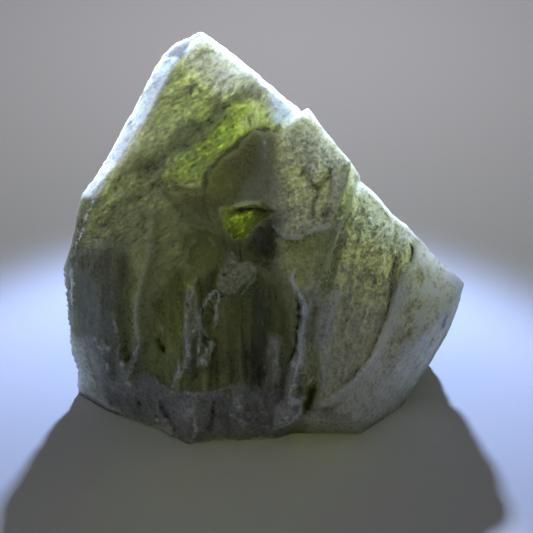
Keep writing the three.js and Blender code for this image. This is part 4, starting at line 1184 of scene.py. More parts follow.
class StoneForm:
    """The field of the whole stone: negative inside the glass, zero on its surface.

    Args:
        sight: How the eye meets the stone.
        front: The maps of the worked front.
    """

    SEAM_ROUNDING = 0.15
    UNEVENNESS = ((0.3, (4.6, 4.6, 5.8)), (0.13, (1.7, 1.7, 2.2)))
    EVEN_BELOW = (0.3, 2.0)
    TABLE_HALF = 24
    SLOPE_STEP = 0.03

    def __init__(self, sight: Sight, front: FrontMap) -> None:
        """Works out the wedges and the table of the slow unevenness."""
        self.sight = sight
        self.front = front
        self.wedges = [
            Wedge(sight, MAIN_OUTLINE, MAIN_FRONT),
            Wedge(sight, RIGHT_OUTLINE, RIGHT_FRONT),
        ]
        steps = np.arange(-self.TABLE_HALF, self.TABLE_HALF + 1, dtype=float)
        i, j, k = np.meshgrid(steps, steps, steps, indexing="ij")
        wave = np.sin(i * 127.1 + j * 311.7 + k * 74.7) * 43758.5453
        self.table = (2 * (wave - np.floor(wave)) - 1).astype(np.float32)

    def uneven(self, points: Array) -> Array:
        """Works out the slow unevenness of a natural surface.

        Args:
            points: Points of the part's frame.

        Returns:
            How far the surface rises at each of them.
        """
        return sum(
            strength * blended(list((points / np.array(size, np.float32)).T), self.number_at)
            for strength, size in self.UNEVENNESS
        )

    def number_at(self, steps: list[Array]) -> Array:
        """Returns the fixed numbers of points of the table's lattice."""
        return self.table[tuple(step.astype(np.int32) + self.TABLE_HALF for step in steps)]

    def field(self, seen: Array) -> Array:
        """Measures outwards from the stone's surface.

        Args:
            seen: Points as the eye meets them.

        Returns:
            The distances, negative inside the glass.
        """
        seen = seen.astype(np.float32)
        points = self.sight.placed(seen).astype(np.float32)
        worked = self.front.sample(self.front.height, seen[:, 0], seen[:, 1])
        main, right = [wedge.field(seen, worked) for wedge in self.wedges]
        blend = np.clip(0.5 + 0.5 * (right - main) / self.SEAM_ROUNDING, 0, 1)
        past = lerp(right, main, blend) - self.SEAM_ROUNDING * blend * (1 - blend)
        for scar in SCARS.values():
            away = np.linalg.norm(points - np.array(scar.at, np.float32), axis=1)
            past = np.maximum(past, scar.radius - away)
        height = points[:, 2]
        past = past - self.uneven(points) * smoothstep(height, *self.EVEN_BELOW)
        return np.maximum(past, -height)

    def facing(self, seen: Array) -> Array:
        """Finds the direction that the surface faces.

        Args:
            seen: Points of the surface as the eye meets them.

        Returns:
            The directions as the eye meets them.
        """
        slope = np.empty_like(seen)
        for axis in range(3):
            step = np.zeros(3)
            step[axis] = self.SLOPE_STEP
            slope[:, axis] = self.field(seen + step) - self.field(seen - step)
        return unit(slope)


class Mesher:
    """Meshes the zero level of a form: one point for each sheet of surface in each cell of a
    lattice, joined across the edges of the cells that the surface crosses.

    Args:
        form: The form.
        low: The lowest corner of the space that it lies in, as the eye meets it.
        high: The highest corner of that space.
        cell: The size of a cell.
    """

    TRIES = 5
    PASSES = 24
    MARGIN = 0.05
    CORNERS = [((k & 1), (k >> 1) & 1, (k >> 2) & 1) for k in range(8)]
    EDGES = [(a, a | bit) for a in range(8) for bit in (1, 2, 4) if not a & bit]
    AROUND = ((0, 0), (1, 0), (1, 1), (0, 1))

    def __init__(self, form: StoneForm, low: Point3, high: Point3, cell: Point3) -> None:
        """Lays out the lattice."""
        self.form = form
        self.low = np.array(low, float)
        self.cell = np.array(cell, float)
        self.counts = np.ceil((np.array(high) - self.low) / self.cell).astype(int) + 1
        self.strides = np.array([self.counts[1] * self.counts[2], self.counts[2], 1])

    def spots(self, steps: Array) -> Array:
        """Returns the places of points of the lattice."""
        return self.low + steps * self.cell

    def inside(self) -> Array:
        """Finds the points of the lattice that lie inside the glass.

        Returns:
            Whether each point does, as one flat array.
        """
        j, k = np.meshgrid(np.arange(self.counts[1]), np.arange(self.counts[2]), indexing="ij")
        sheet = np.stack([np.zeros_like(j), j, k], axis=-1).reshape(-1, 3)

        def slab(i: int) -> Array:
            """Returns the answer for one sheet of points."""
            return self.form.field(self.spots(sheet + np.array([i, 0, 0]))) < 0

        with ThreadPoolExecutor(4) as pool:
            return np.concatenate(list(pool.map(slab, range(self.counts[0]))))

    @classmethod
    def sheets_of(cls, case: int) -> list[int]:
        """Sorts the crossed edges of a cell into the sheets of surface that pass the cell.

        Args:
            case: The cell's corners that lie inside, one bit each.

        Returns:
            For each edge the number of its sheet, or -1 where the surface doesn't cross it.
        """
        inside = [bool(case >> corner & 1) for corner in range(8)]
        crossed = [inside[a] != inside[b] for a, b in cls.EDGES]
        sheet = list(range(12))
        for axis in range(3):
            for side in (0, 1):
                cut = [
                    n for n, edge in enumerate(cls.EDGES)
                    if crossed[n] and all(cls.CORNERS[c][axis] == side for c in edge)
                ]
                for a in cut:
                    for b in cut:
                        shared = set(cls.EDGES[a]) & set(cls.EDGES[b])
                        if a < b and (len(cut) == 2 or any(inside[c] for c in shared)):
                            start, end = sheet[a], sheet[b]
                            sheet = [end if value == start else value for value in sheet]
        return [sheet[n] if crossed[n] else -1 for n in range(12)]

    def crossings(self, inside: Array) -> list[tuple[int, Array, Array]]:
        """Finds the edges of the lattice that the surface crosses.

        Args:
            inside: Which points of the lattice lie inside.

        Returns:
            For each axis its number, the low ends of the crossed edges, and whether each of
            them lies inside.
        """
        block = inside.reshape(self.counts)
        found = []
        for axis in range(3):
            low = np.take(block, range(self.counts[axis] - 1), axis)
            high = np.take(block, range(1, self.counts[axis]), axis)
            steps = np.stack(np.nonzero(low != high), axis=1)
            found.append((axis, steps, low[tuple(steps.T)]))
        return found

    def cross(self, start: Array, end: Array) -> Array:
        """Finds where the surface crosses between points inside and points outside.

        Args:
            start: The points inside.
            end: The points outside.

        Returns:
            The places of the crossings.
        """
        low, high = start.copy(), end.copy()
        low_value, high_value = self.form.field(low), self.form.field(high)
        middle = low
        for _ in range(self.TRIES):
            share = np.clip(low_value / np.minimum(low_value - high_value, -1e-9), 0.02, 0.98)
            middle = lerp(low, high, share[:, None])
            value = self.form.field(middle)
            is_in = value < 0
            low = np.where(is_in[:, None], middle, low)
            high = np.where(is_in[:, None], high, middle)
            low_value = np.where(is_in, value, low_value)
            high_value = np.where(is_in, high_value, value)
        return middle

    def settle(self, owner: Array, at: Array, facing: Array, low: Array) -> Array:
        """Finds the point of each sheet: from the middle of its crossings it moves to where
        the faces that they lie on meet, so that the edges between faces stay sharp.

        Args:
            owner: The sheet of each crossing.
            at: The crossings' places.
            facing: The directions that the surface faces there.
            low: The lowest corner of each sheet's cell.

        Returns:
            The points.
        """
        count = len(low)
        share = 1 / np.bincount(owner, minlength=count)

        def mean(values: Array) -> Array:
            """Returns the mean of the values of each sheet."""
            sums = [np.bincount(owner, values[:, n], count) for n in range(3)]
            return np.stack(sums, axis=1) * share[:, None]

        point = mean(at)
        margin = self.MARGIN * self.cell
        for _ in range(self.PASSES):
            gap = ((at - point[owner]) * facing).sum(axis=1)
            moved = point + mean(facing * gap[:, None])
            point = np.clip(moved, low + margin, low + self.cell - margin)
        return point

    def mesh(self) -> tuple[Array, Array]:
        """Meshes the form.

        Returns:
            The points as the eye meets them, and the triangles.
        """
        inside = self.inside()
        sheets = np.array([self.sheets_of(case) for case in range(256)])
        places, normals, cells, edges, flips = [], [], [], [], []
        for axis, steps, low_in in self.crossings(inside):
            low, high = self.spots(steps), self.spots(steps)
            high[:, axis] += self.cell[axis]
            at = self.cross(
                np.where(low_in[:, None], low, high), np.where(low_in[:, None], high, low)
            )
            places.append(at)
            normals.append(self.form.facing(at))
            flips.append(~low_in)
            u, v = (axis + 1) % 3, (axis + 2) % 3
            node = steps @ self.strides
            cells.append(np.stack([
                node - du * self.strides[u] - dv * self.strides[v] for du, dv in self.AROUND
            ]))
            corners = [(du << u) | (dv << v) for du, dv in self.AROUND]
            numbers = [self.EDGES.index((c, c | (1 << axis))) for c in corners]
            edges.append(np.repeat(np.array(numbers)[:, None], len(steps), axis=1))
        at, facing, flip = map(np.concatenate, (places, normals, flips))
        cell, edge = np.concatenate(cells, axis=1), np.concatenate(edges, axis=1)
        crossing = np.tile(np.arange(len(at)), 4)

        used, place = np.unique(cell.ravel(), return_inverse=True)
        case = sum(
            inside[used + np.array(corner) @ self.strides].astype(int) << n
            for n, corner in enumerate(self.CORNERS)
        )
        key = place * 12 + sheets[case[place], edge.ravel()]
        kept, owner = np.unique(key, return_inverse=True)
        spot = used[kept // 12]
        low = self.spots(np.stack(np.unravel_index(spot, self.counts), axis=1))
        points = self.settle(owner, at[crossing], facing[crossing], low)

        quads = owner.reshape(4, -1).T
        quads = np.where(flip[:, None], quads[:, ::-1], quads)
        a, b, c, d = quads.T
        short = np.linalg.norm(points[a] - points[c], axis=1) < np.linalg.norm(
            points[b] - points[d], axis=1
        )
        first = np.where(short[:, None], np.stack([a, b, c], 1), np.stack([a, b, d], 1))
        second = np.where(short[:, None], np.stack([a, c, d], 1), np.stack([b, c, d], 1))
        return points, np.concatenate([first, second])


@dataclass(frozen=True)
class Surface:
    """A triangle mesh in millimetres with the few things that are measured on it."""

    points: Array
    triangles: Array

    def normals(self) -> Array:
        """Works out the direction that the surface faces.

        Returns:
            The direction at each point, of length 1.
        """
        a, b, c = (self.points[self.triangles[:, n]] for n in range(3))
        facing = np.cross(b - a, c - a)
        total = np.zeros_like(self.points)
        for n in range(3):
            for axis in range(3):
                total[:, axis] += np.bincount(
                    self.triangles[:, n], facing[:, axis], len(self.points)
                )
        return unit(total)

    def spread(self, values: Array, times: int) -> Array:
        """Evens values out over the surface.

        Args:
            values: One value or one row of values for each point.
            times: How many times each point takes the mean of its neighbours.

        Returns:
            The evened values.
        """
        pairs = np.concatenate([self.triangles[:, [0, 1]], self.triangles[:, [1, 2]],
                                self.triangles[:, [2, 0]]])
        count = np.bincount(pairs[:, 0], minlength=len(self.points))
        columns = values.reshape(len(values), -1)
        for _ in range(times):
            columns = np.stack([
                np.bincount(pairs[:, 0], column[pairs[:, 1]], len(self.points)) / count
                for column in columns.T
            ], axis=1)
        return columns.reshape(values.shape)

    def convexity(self, reach: int) -> Array:
        """Returns how far each point stands out of its neighbours up to a reach."""
        return ((self.points - self.spread(self.points, reach)) * self.normals()).sum(axis=1)


class Wiring:
    """The nodes of a material, with short ways to add one and join it to others.

    Args:
        material: The material, whose first nodes are cleared.
    """

    def __init__(self, material: bpy.types.Material) -> None:
        """Clears the nodes and adds the place on the object, in millimetres."""
        material.use_nodes = True
        self.nodes, self.links = material.node_tree.nodes, material.node_tree.links
        self.nodes.clear()
        place = self.nodes.new("ShaderNodeTexCoord").outputs["Object"]
        self.spot = self.scaled(place, 1 / MILLIMETRE)

    def join(self, value: Number, socket: Socket) -> None:
        """Gives a socket its value.

        Args:
            value: A socket that is linked to it, or a number that it is set to.
            socket: The socket of the node that takes the value.
        """
        if isinstance(value, Socket):
            self.links.new(value, socket)
        else:
            socket.default_value = value

    def attribute(self, name: str, socket: str) -> Socket:
        """Reads an attribute of the mesh.

        Args:
            name: The attribute's name.
            socket: Which of the node's sockets is wanted.

        Returns:
            That socket.
        """
        node = self.nodes.new("ShaderNodeAttribute")
        node.attribute_name = name
        return node.outputs[socket]

    def scaled(self, vector: Socket, share: Number) -> Socket:
        """Multiplies a vector or a colour.

        Args:
            vector: The vector or the colour.
            share: What it is multiplied by.

        Returns:
            The product.
        """
        node = self.nodes.new("ShaderNodeVectorMath")
        node.operation = "SCALE"
        self.join(vector, node.inputs[0])
        self.join(share, node.inputs["Scale"])
        return node.outputs["Vector"]

    def worked(self, kind: str, *values: Number) -> Socket:
        """Does arithmetic.

        Args:
            kind: The name of the operation.
            values: What it is done on, in order.

        Returns:
            The result.
        """
        node = self.nodes.new("ShaderNodeMath")
        node.operation = kind
        for socket, value in zip(node.inputs, values):
            self.join(value, socket)
        return node.outputs[0]

    def times(self, first: Number, second: Number) -> Socket:
        """Returns a product."""
        return self.worked("MULTIPLY", first, second)

    def plus(self, first: Number, second: Number) -> Socket:
        """Returns a sum."""
        return self.worked("ADD", first, second)

    def summed(self, *parts: tuple[Socket, float], start: float) -> Number:
        """Adds sockets up.

        Args:
            parts: Each socket with its own weight.
            start: What they are added to.

        Returns:
            The sum.
        """
        total = start
        for part, weight in parts:
            total = self.plus(self.times(part, weight), total)
        return total

    def noise(self, size: float, detail: float, share: float, along: Socket | None = None) -> Socket:
        """Draws soft noise.

        Args:
            size: The size of its features, in millimetres.
            detail: How many finer layers it has.
            share: How strong each layer is beside the last.
            along: The coordinates that it is drawn in, where they aren't the object's own.

        Returns:
            Its socket.
        """
        node = self.nodes.new("ShaderNodeTexNoise")
        node.inputs["Scale"].default_value = 1 / size
        node.inputs["Detail"].default_value = detail
        node.inputs["Roughness"].default_value = share
        self.join(along or self.spot, node.inputs["Vector"])
        return node.outputs["Fac"]

    def cells(self, size: float) -> Socket:
        """Scatters points, one to each cell of space.

        Args:
            size: The size of a cell, in millimetres.

        Returns:
            The distance to the nearest point.
        """
        node = self.nodes.new("ShaderNodeTexVoronoi")
        node.inputs["Scale"].default_value = 1 / size
        self.join(self.spot, node.inputs["Vector"])
        return node.outputs["Distance"]

    def creases(self, *noise: float | Socket) -> Socket:
        """Returns how far noise is from its middle, which it crosses along thin lines."""
        return self.worked("ABSOLUTE", self.worked("SUBTRACT", self.noise(*noise), 0.5))

    def ranged(self, value: Socket, start: Span, end: Span) -> Socket:
        """Carries values from one range to another.

        Args:
            value: The values.
            start: The range that they come from; beyond it they stop.
            end: The range that they are carried to.

        Returns:
            The new values.
        """
        node = self.nodes.new("ShaderNodeMapRange")
        self.join(value, node.inputs["Value"])
        for name, number in zip(("From Min", "From Max", "To Min", "To Max"), (*start, *end)):
            node.inputs[name].default_value = number
        return node.outputs["Result"]

    def mixed(self, share: Socket, start: Socket, end: Colour) -> Socket:
        """Mixes two colours.

        Args:
            share: How far the mix goes from the first colour to the second.
            start: The first colour.
            end: The second colour.

        Returns:
            The mix.
        """
        node = self.nodes.new("ShaderNodeMix")
        node.data_type = "RGBA"
        self.join(share, node.inputs["Factor"])
        self.join(start, node.inputs["A"])
        node.inputs["B"].default_value = (*end, 1)
        return node.outputs["Result"]


@dataclass(frozen=True)
class Texture:
    """The finest texture of the glass, as sockets.

    Attributes:
        crumble: Its height, about 0.
        fine: Its finest noise.
        bowls: How far each point is from the middle of a small bowl.
        wrinkle: How far it is from the finest wrinkles.
        line: How far it is from the nearest thin line of any kind.
    """

    crumble: Socket
    fine: Socket
    bowls: Socket
    wrinkle: Socket
    line: Socket


@dataclass(frozen=True)
class MoldaviteGlass:
    """The finish of the glass: bottle green right through, frosted where it is etched.

    Attributes:
        ior: The index of refraction.
        sheen: How much light the surface itself gives back.
        inner: The share of the light of its matt areas that wanders inside.
        passed: The share of red, green and blue light that passes the path below.
        path: That path, in metres.
        smooth: The roughness of its clear areas.
        matt: The roughness of its frosted areas.
        glow: How far light wanders inside, in metres.
        spread: How far red, green and blue light wander beside that.
        relief: How deep the finest texture is, in metres.
        frost_and_glint_white: The colour of frost, and of the painted glints and highlights of pale lines.
        hollow: The painted shade of cracks and deep pits.
    """

    BROAD = 0.9
    FINE = 0.2
    CREASE = 0.7
    WRINKLE = 0.32
    BOWL = 0.36
    STRAND = 0.22
    FIBRE = 0.5
    FOLD = 0.26
    CREPE = 0.45
    DENSEST = 1.08

    ior: float = 1.49
    sheen: float = 0.2
    inner: float = 0.7
    passed: Colour = (0.60, 0.58, 0.28)
    path: float = 0.010
    smooth: float = 0.22
    matt: float = 0.85
    glow: float = 0.0055
    spread: Colour = (1.0, 1.0, 0.8)
    relief: float = 0.0002
    frost_and_glint_white: Colour = (0.80, 0.84, 0.86)
    hollow: Colour = (0.06, 0.065, 0.025)

    def build(self) -> bpy.types.Material:
        """Builds the material.

        Returns:
            The material.
        """
        material = bpy.data.materials.new("moldavite_glass")
        kit = Wiring(material)
        clear, frost, grit, vein, ribbed, peeled, reach = (
            kit.attribute(name, "Fac")
            for name in ("clear", "frost", "grit", "vein", "ribbed", "peeled", "reach")
        )
        texture = self.texture(kit, ribbed, peeled)
        whitening = self.whitening(kit, texture, frost)
        lit, dark = self.lines(kit, texture, vein)

        shader = kit.nodes.new("ShaderNodeBsdfPrincipled")
        shader.inputs["IOR"].default_value = self.ior
        shader.inputs["Specular IOR Level"].default_value = self.sheen
        shader.inputs["Subsurface Weight"].default_value = self.inner
        shader.inputs["Subsurface Radius"].default_value = self.spread
        kit.join(kit.times(reach, self.glow), shader.inputs["Subsurface Scale"])

        # Painted light and shade: the tone is scaled by the height of the finest relief, dark lines take
        # the painted shade of hollows, and pale lines take painted glints in the white of frost.
        shade = kit.ranged(kit.times(texture.crumble, grit), (-0.42, 0.54), (0.45, 1.75))
        tinted = kit.scaled(kit.attribute("tone", "Color"), shade)
        colour = kit.mixed(dark, tinted, self.hollow)
        colour = kit.mixed(kit.worked("MAXIMUM", whitening, lit), colour, self.frost_and_glint_white)
        kit.join(colour, shader.inputs["Base Color"])

        passing = kit.times(clear, kit.ranged(lit, (0, 1), (1.0, 0.45)))
        passing = kit.times(passing, kit.ranged(whitening, (0.0, 0.5), (1.0, 0.7)))
        kit.join(passing, shader.inputs["Transmission Weight"])
        rough = kit.ranged(frost, (0, 1), (self.smooth, self.matt))
        rough = kit.plus(rough, kit.times(texture.crumble, 0.2))
        kit.join(rough, shader.inputs["Roughness"])

        bump = kit.nodes.new("ShaderNodeBump")
        bump.inputs["Distance"].default_value = self.relief
        rugged = kit.times(grit, kit.ranged(frost, (0.0, 0.35), (0.15, 1.0)))
        kit.join(rugged, bump.inputs["Strength"])
        kit.join(texture.crumble, bump.inputs["Height"])
        kit.join(bump.outputs["Normal"], shader.inputs["Normal"])

        output = kit.nodes.new("ShaderNodeOutputMaterial")
        kit.join(shader.outputs["BSDF"], output.inputs["Surface"])
        kit.join(self.absorption(kit), output.inputs["Volume"])
        return material

    def texture(self, kit: Wiring, ribbed: Socket, peeled: Socket) -> Texture:
        """Draws the finest texture: crushed, and drawn out or crumpled where the mesh says so.

        Args:
            kit: The material's nodes.
            ribbed: How ribbed each point is.
            peeled: How peeled each point is.

        Returns:
            The texture.
        """
        ribs, peel = kit.attribute("ribs", "Vector"), kit.attribute("peel", "Vector")
        broad, fine = kit.noise(self.BROAD, 5, 0.65), kit.noise(self.FINE, 3, 0.7)
        crease, wrinkle = kit.creases(self.CREASE, 2, 0.5), kit.creases(self.WRINKLE, 2, 0.5)
        strand, fibre = kit.noise(self.STRAND, 3, 0.6, ribs), kit.creases(self.FIBRE, 3, 0.6, ribs)
        folds, crepe = kit.noise(self.FOLD, 3, 0.65, peel), kit.creases(self.CREPE, 3, 0.6, peel)
        bowls = kit.cells(self.BOWL)
        crumble = kit.summed(
            (broad, 0.5), (fine, 1.2), (bowls, 0.5), (crease, -0.9), (wrinkle, -1.2), start=-0.92
        )
        drawn_out = kit.summed((broad, 0.4), (fine, 0.8), (strand, 1.3), (fibre, -1.2), start=-1.15)
        crumpled = kit.summed((broad, 0.3), (fine, 0.5), (folds, 1.9), (crepe, -1.6), start=-1.17)
        for share, kind in ((ribbed, drawn_out), (peeled, crumpled)):
            crumble = kit.plus(crumble, kit.times(share, kit.worked("SUBTRACT", kind, crumble)))
        line = kit.worked("MINIMUM", kit.worked("MINIMUM", crease, wrinkle), fibre)
        return Texture(crumble, fine, bowls, wrinkle, line)

    def whitening(self, kit: Wiring, texture: Texture, frost: Socket) -> Socket:
        """Finds how far frost whitens each point: in specks, and in wisps along thin lines.

        Args:
            kit: The material's nodes.
            texture: The finest texture.
            frost: How matt each point is.

        Returns:
            A share from 0 to 1.
        """
        speckled = kit.plus(texture.fine, kit.times(texture.bowls, 0.25))
        specks = kit.ranged(speckled, (0.6, 0.72), (0, 1))
        wisps = kit.ranged(texture.line, (0.0, 0.025), (0.6, 0.0))
        strength = kit.ranged(kit.times(frost, frost), (0, 1), (0.03, 0.85))
        return kit.times(kit.worked("MAXIMUM", specks, wisps), strength)

    def lines(self, kit: Wiring, texture: Texture, vein: Socket) -> tuple[Socket, Socket]:
        """Finds how far pale and dark lines show.

        Args:
            kit: The material's nodes.
            texture: The finest texture.
            vein: How white each point is drawn, to 1, with frost and painted glints, or how dark, to -1,
                with painted shade.

        Returns:
            How far each point is whitened by a pale line, with frost and painted glints, and how far it is
            darkened by a dark one, with painted shade.
        """
        pale = kit.times(vein, kit.summed((texture.crumble, 1.6), start=1.0))
        # The shards break pale lines into painted sparkles.
        shards = kit.summed((texture.fine, 1.0), (texture.wrinkle, -0.8), start=0.0)
        lit = kit.times(
            kit.ranged(pale, (0.27, 0.72), (0, 1)), kit.ranged(shards, (0.34, 0.5), (0.4, 1.0))
        )
        deep = kit.times(vein, kit.summed((texture.crumble, 1.2), start=1.0))
        return lit, kit.ranged(deep, (-0.32, -0.7), (0.0, 0.8))

    def absorption(self, kit: Wiring) -> Socket:
        """Gives the glass its bottle green, as what it takes from light that passes.

        Args:
            kit: The material's nodes.

        Returns:
            The volume's socket.
        """
        volume = kit.nodes.new("ShaderNodeVolumeAbsorption")
        lost = [-math.log(share) / self.path for share in self.passed]
        density = self.DENSEST * max(lost)
        volume.inputs["Density"].default_value = density
        volume.inputs["Color"].default_value = (*[1 - each / density for each in lost], 1)
        return volume.outputs["Volume"]


@dataclass(frozen=True)
class Stone:
    """The stone itself, one solid piece of glass.

    Attributes:
        sight: How the eye meets it.
        finish: Its finish.
        low: The lowest corner of the space that it lies in, as the eye meets it.
        high: The highest corner of that space.
        cell: The size of the cells that it is meshed with.
        base_snap: Points this close to the base's plane lie in it.
        skin: How strong the texture of the sides and the back is.
    """

    DEEP = (0.3, 0.6, 1.0, 1.5, 2.0, 2.7, 3.5, 4.5, 6.0, 8.0)
    AHEAD_FROM = (-0.06, 0.09)
    EDGES = ((3, 0.06), (12, 0.2))
    EDGE_FROST = 0.8
    LEAST_REACH = 0.05
    FULL_TONE_REACH = 0.3
    THIN_TONE = 0.5
    WIDE_PITS = (1.5, 1.5, 1.9)
    SMALL_PITS = 0.62
    COLUMNS = {"clear": 3, "frost": 4, "grit": 5, "vein": 6, "ribbed": 7, "peeled": 8, "reach": 9}

    sight: Sight
    finish: MoldaviteGlass
    low: Point3 = (-17.2, -16.9, -16.0)
    high: Point3 = (17.2, 18.6, 9.6)
    cell: Point3 = (0.165, 0.165, 0.3)
    base_snap: float = 0.03
    skin: float = 0.6

    def build(self) -> bpy.types.Object:
        """Builds the piece and ties it to the frame.

        Returns:
            The finished object.
        """
        front = FrontMap()
        log.info("front map drawn")
        form = StoneForm(self.sight, front)
        seen, triangles = Mesher(form, self.low, self.high, self.cell).mesh()
        points = self.sight.placed(seen)
        points[points[:, 2] < self.base_snap, 2] = 0
        log.info("stone meshed: %d points, %d triangles", len(points), len(triangles))
        surface = Surface(points, triangles)
        ahead = self.ahead(surface)
        surface = self.skinned(surface, ahead)
        looks = self.looks(surface, front, ahead)
        reach = self.reach(surface, form, looks[:, 4])
        thick = smoothstep(reach, self.LEAST_REACH, self.FULL_TONE_REACH)
        looks[:, :3] *= lerp(self.THIN_TONE, 1.0, thick)[:, None]
        looks = np.c_[looks, reach]
        log.info("looks worked out")
        piece = self.as_object(surface, looks, front)
        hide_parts("stone")
        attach(piece, "root")
        return piece

    def ahead(self, surface: Surface) -> Array:
        """Returns how far each point belongs to the front that the eye meets, from 0 to 1."""
        near = self.sight.turned(surface.normals())[:, 2]
        return smoothstep(surface.spread(near, 2), *self.AHEAD_FROM)

    def skinned(self, surface: Surface, ahead: Array) -> Surface:
        """Works the pitted texture into the sides and the back.

        Args:
            surface: The plain surface.
            ahead: How far each point belongs to the front.

        Returns:
            The worked surface.
        """
        points = surface.points
        axes = list(points.T)
        wide, mark, _ = cell_noise([axis / size for axis, size in zip(axes, self.WIDE_PITS)], 81)
        small, _, _ = cell_noise([axis / self.SMALL_PITS for axis in axes], 83)
        rough = layered_noise([axis / 0.8 for axis in axes], 85, 3)
        deep = np.where(mark > 0.4, 1 - smoothstep(wide, 0.15, 0.62), 0)
        rise = -0.34 * deep + 0.2 * (np.minimum(small, 0.7) - 0.4) + 0.12 * rough
        off_base = smoothstep(points[:, 2], 0.15, 0.9)
        rise = self.skin * rise * (1 - ahead) * off_base
        return Surface(points + surface.normals() * rise[:, None], surface.triangles)

    def looks(self, surface: Surface, front: FrontMap, ahead: Array) -> Array:
        """Works out colour, clearness and frost at each point.

        Args:
            surface: The surface.
            front: The maps of the worked front.
            ahead: How far each point belongs to the front.

        Returns:
            Rows of red, green, blue, clearness, frost, grit, vein, and how ribbed and how
            peeled it is.
        """
        seen = self.sight.seen(surface.points)
        drawn = front.sample(front.looks, seen[:, 0], seen[:, 1])
        axes = list(surface.points.T)
        cloud = layered_noise([axis / 3.2 for axis in axes], 91, 3)
        grain = layered_noise([axis / 0.7 for axis in axes], 93, 2)
        plain = lerp(
            np.array([*Tone.BOTTLE.value, 0.6, 0.15, 0.8, 0, 0, 0]),
            np.array([*Tone.MOSS.value, 0.5, 0.4, 1, 0, 0, 0]),
            np.clip(0.5 + 0.9 * cloud + 0.3 * grain, 0, 1)[:, None],
        )
        looks = lerp(plain, drawn, ahead[:, None])
        edge = sum(np.clip(surface.convexity(far) / full, -1, 1) for far, full in self.EDGES)
        frosted = looks[:, 4] + 0.2 * edge * (0.25 + looks[:, 4])
        looks[:, 4] = np.minimum(frosted, np.maximum(looks[:, 4], self.EDGE_FROST))
        # Painted light and shade: convex points are made lighter and hollows darker.
        looks[:, :3] *= np.exp(0.06 * edge)[:, None]
        looks[:, :6] = np.clip(looks[:, :6], 0, 1)
        return looks

    def reach(self, surface: Surface, form: StoneForm, frost: Array) -> Array:
        """Works out how far light wanders under each point: less where the glass is thin or matt.

        Args:
            surface: The surface.
            form: The field of the stone.
            frost: How matt each point is.

        Returns:
            A share of the finish's own distance, from 0 to 1.
        """
        seen = self.sight.seen(surface.points)
        inwards = -self.sight.turned(surface.normals())
        depth = np.full(len(seen), self.DEEP[-1])
        for step in self.DEEP[-2::-1]:
            depth = np.where(form.field(seen + inwards * step) > 0, step, depth)
        thin = surface.spread(depth, 3) / self.DEEP[-1]
        return np.maximum(thin**0.7 * (1 - 0.9 * frost**8), self.LEAST_REACH)

    def as_object(self, surface: Surface, looks: Array, front: FrontMap) -> bpy.types.Object:
        """Makes the Blender object, in metres.

        Args:
            surface: The surface, in millimetres.
            looks: One row for each point, as they are worked out above.
            front: The maps of the worked front.

        Returns:
            The object.
        """
        mesh = bpy.data.meshes.new("stone_glass")
        count, faces = len(surface.points), len(surface.triangles)
        mesh.vertices.add(count)
        mesh.vertices.foreach_set("co", (surface.points * MILLIMETRE).astype(np.float32).ravel())
        mesh.loops.add(3 * faces)
        mesh.loops.foreach_set("vertex_index", surface.triangles.astype(np.int32).ravel())
        mesh.polygons.add(faces)
        mesh.polygons.foreach_set("loop_start", np.arange(0, 3 * faces, 3, dtype=np.int32))
        mesh.update(calc_edges=True)
        mesh.validate()
        mesh.polygons.foreach_set("use_smooth", np.ones(faces, bool))
        tone = mesh.attributes.new("tone", "FLOAT_COLOR", "POINT")
        tone.data.foreach_set("color", np.c_[looks[:, :3], np.ones(count)].astype(np.float32).ravel())
        for name, column in self.COLUMNS.items():
            layer = mesh.attributes.new(name, "FLOAT", "POINT")
            layer.data.foreach_set("value", looks[:, column].astype(np.float32))
        across, up, near = self.sight.seen(surface.points).T
        for name, drawn in (("ribs", front.ribs(across, up)), ("peel", front.peel(across, up))):
            layer = mesh.attributes.new(name, "FLOAT_VECTOR", "POINT")
            layer.data.foreach_set("vector", np.c_[drawn, 0.3 * near].astype(np.float32).ravel())
        mesh.materials.append(self.finish.build())
        piece = bpy.data.objects.new("stone_glass", mesh)
        bpy.context.scene.collection.objects.link(piece)
        return piece


@dataclass(frozen=True)
class Paper:
    """The plain pale sheet that the stone stands on.

    Attributes:
        half: Half its width, in metres.
        colour: Its colour.
    """

    half: float = 0.6
    colour: Colour = (0.76, 0.76, 0.80)

    def build(self) -> bpy.types.Object:
        """Builds the sheet and its matt material.

        Returns:
            The sheet.
        """
        mesh = bpy.data.meshes.new("paper")
        corners = [(-1, -1), (1, -1), (1, 1), (-1, 1)]
        mesh.from_pydata([(x * self.half, y * self.half, 0) for x, y in corners], [], [(0, 1, 2, 3)])
        material = bpy.data.materials.new("paper")
        material.use_nodes = True
        shader = material.node_tree.nodes["Principled BSDF"]
        shader.inputs["Base Color"].default_value = (*self.colour, 1)
        shader.inputs["Roughness"].default_value = 0.95
        shader.inputs["Specular IOR Level"].default_value = 0.1
        mesh.materials.append(material)
        sheet = bpy.data.objects.new("paper", mesh)
        bpy.context.scene.collection.objects.link(sheet)
        return sheet


class Kind(Enum):
    """A kind of lamp."""

    BULB = "POINT"
    BEAM = "SPOT"


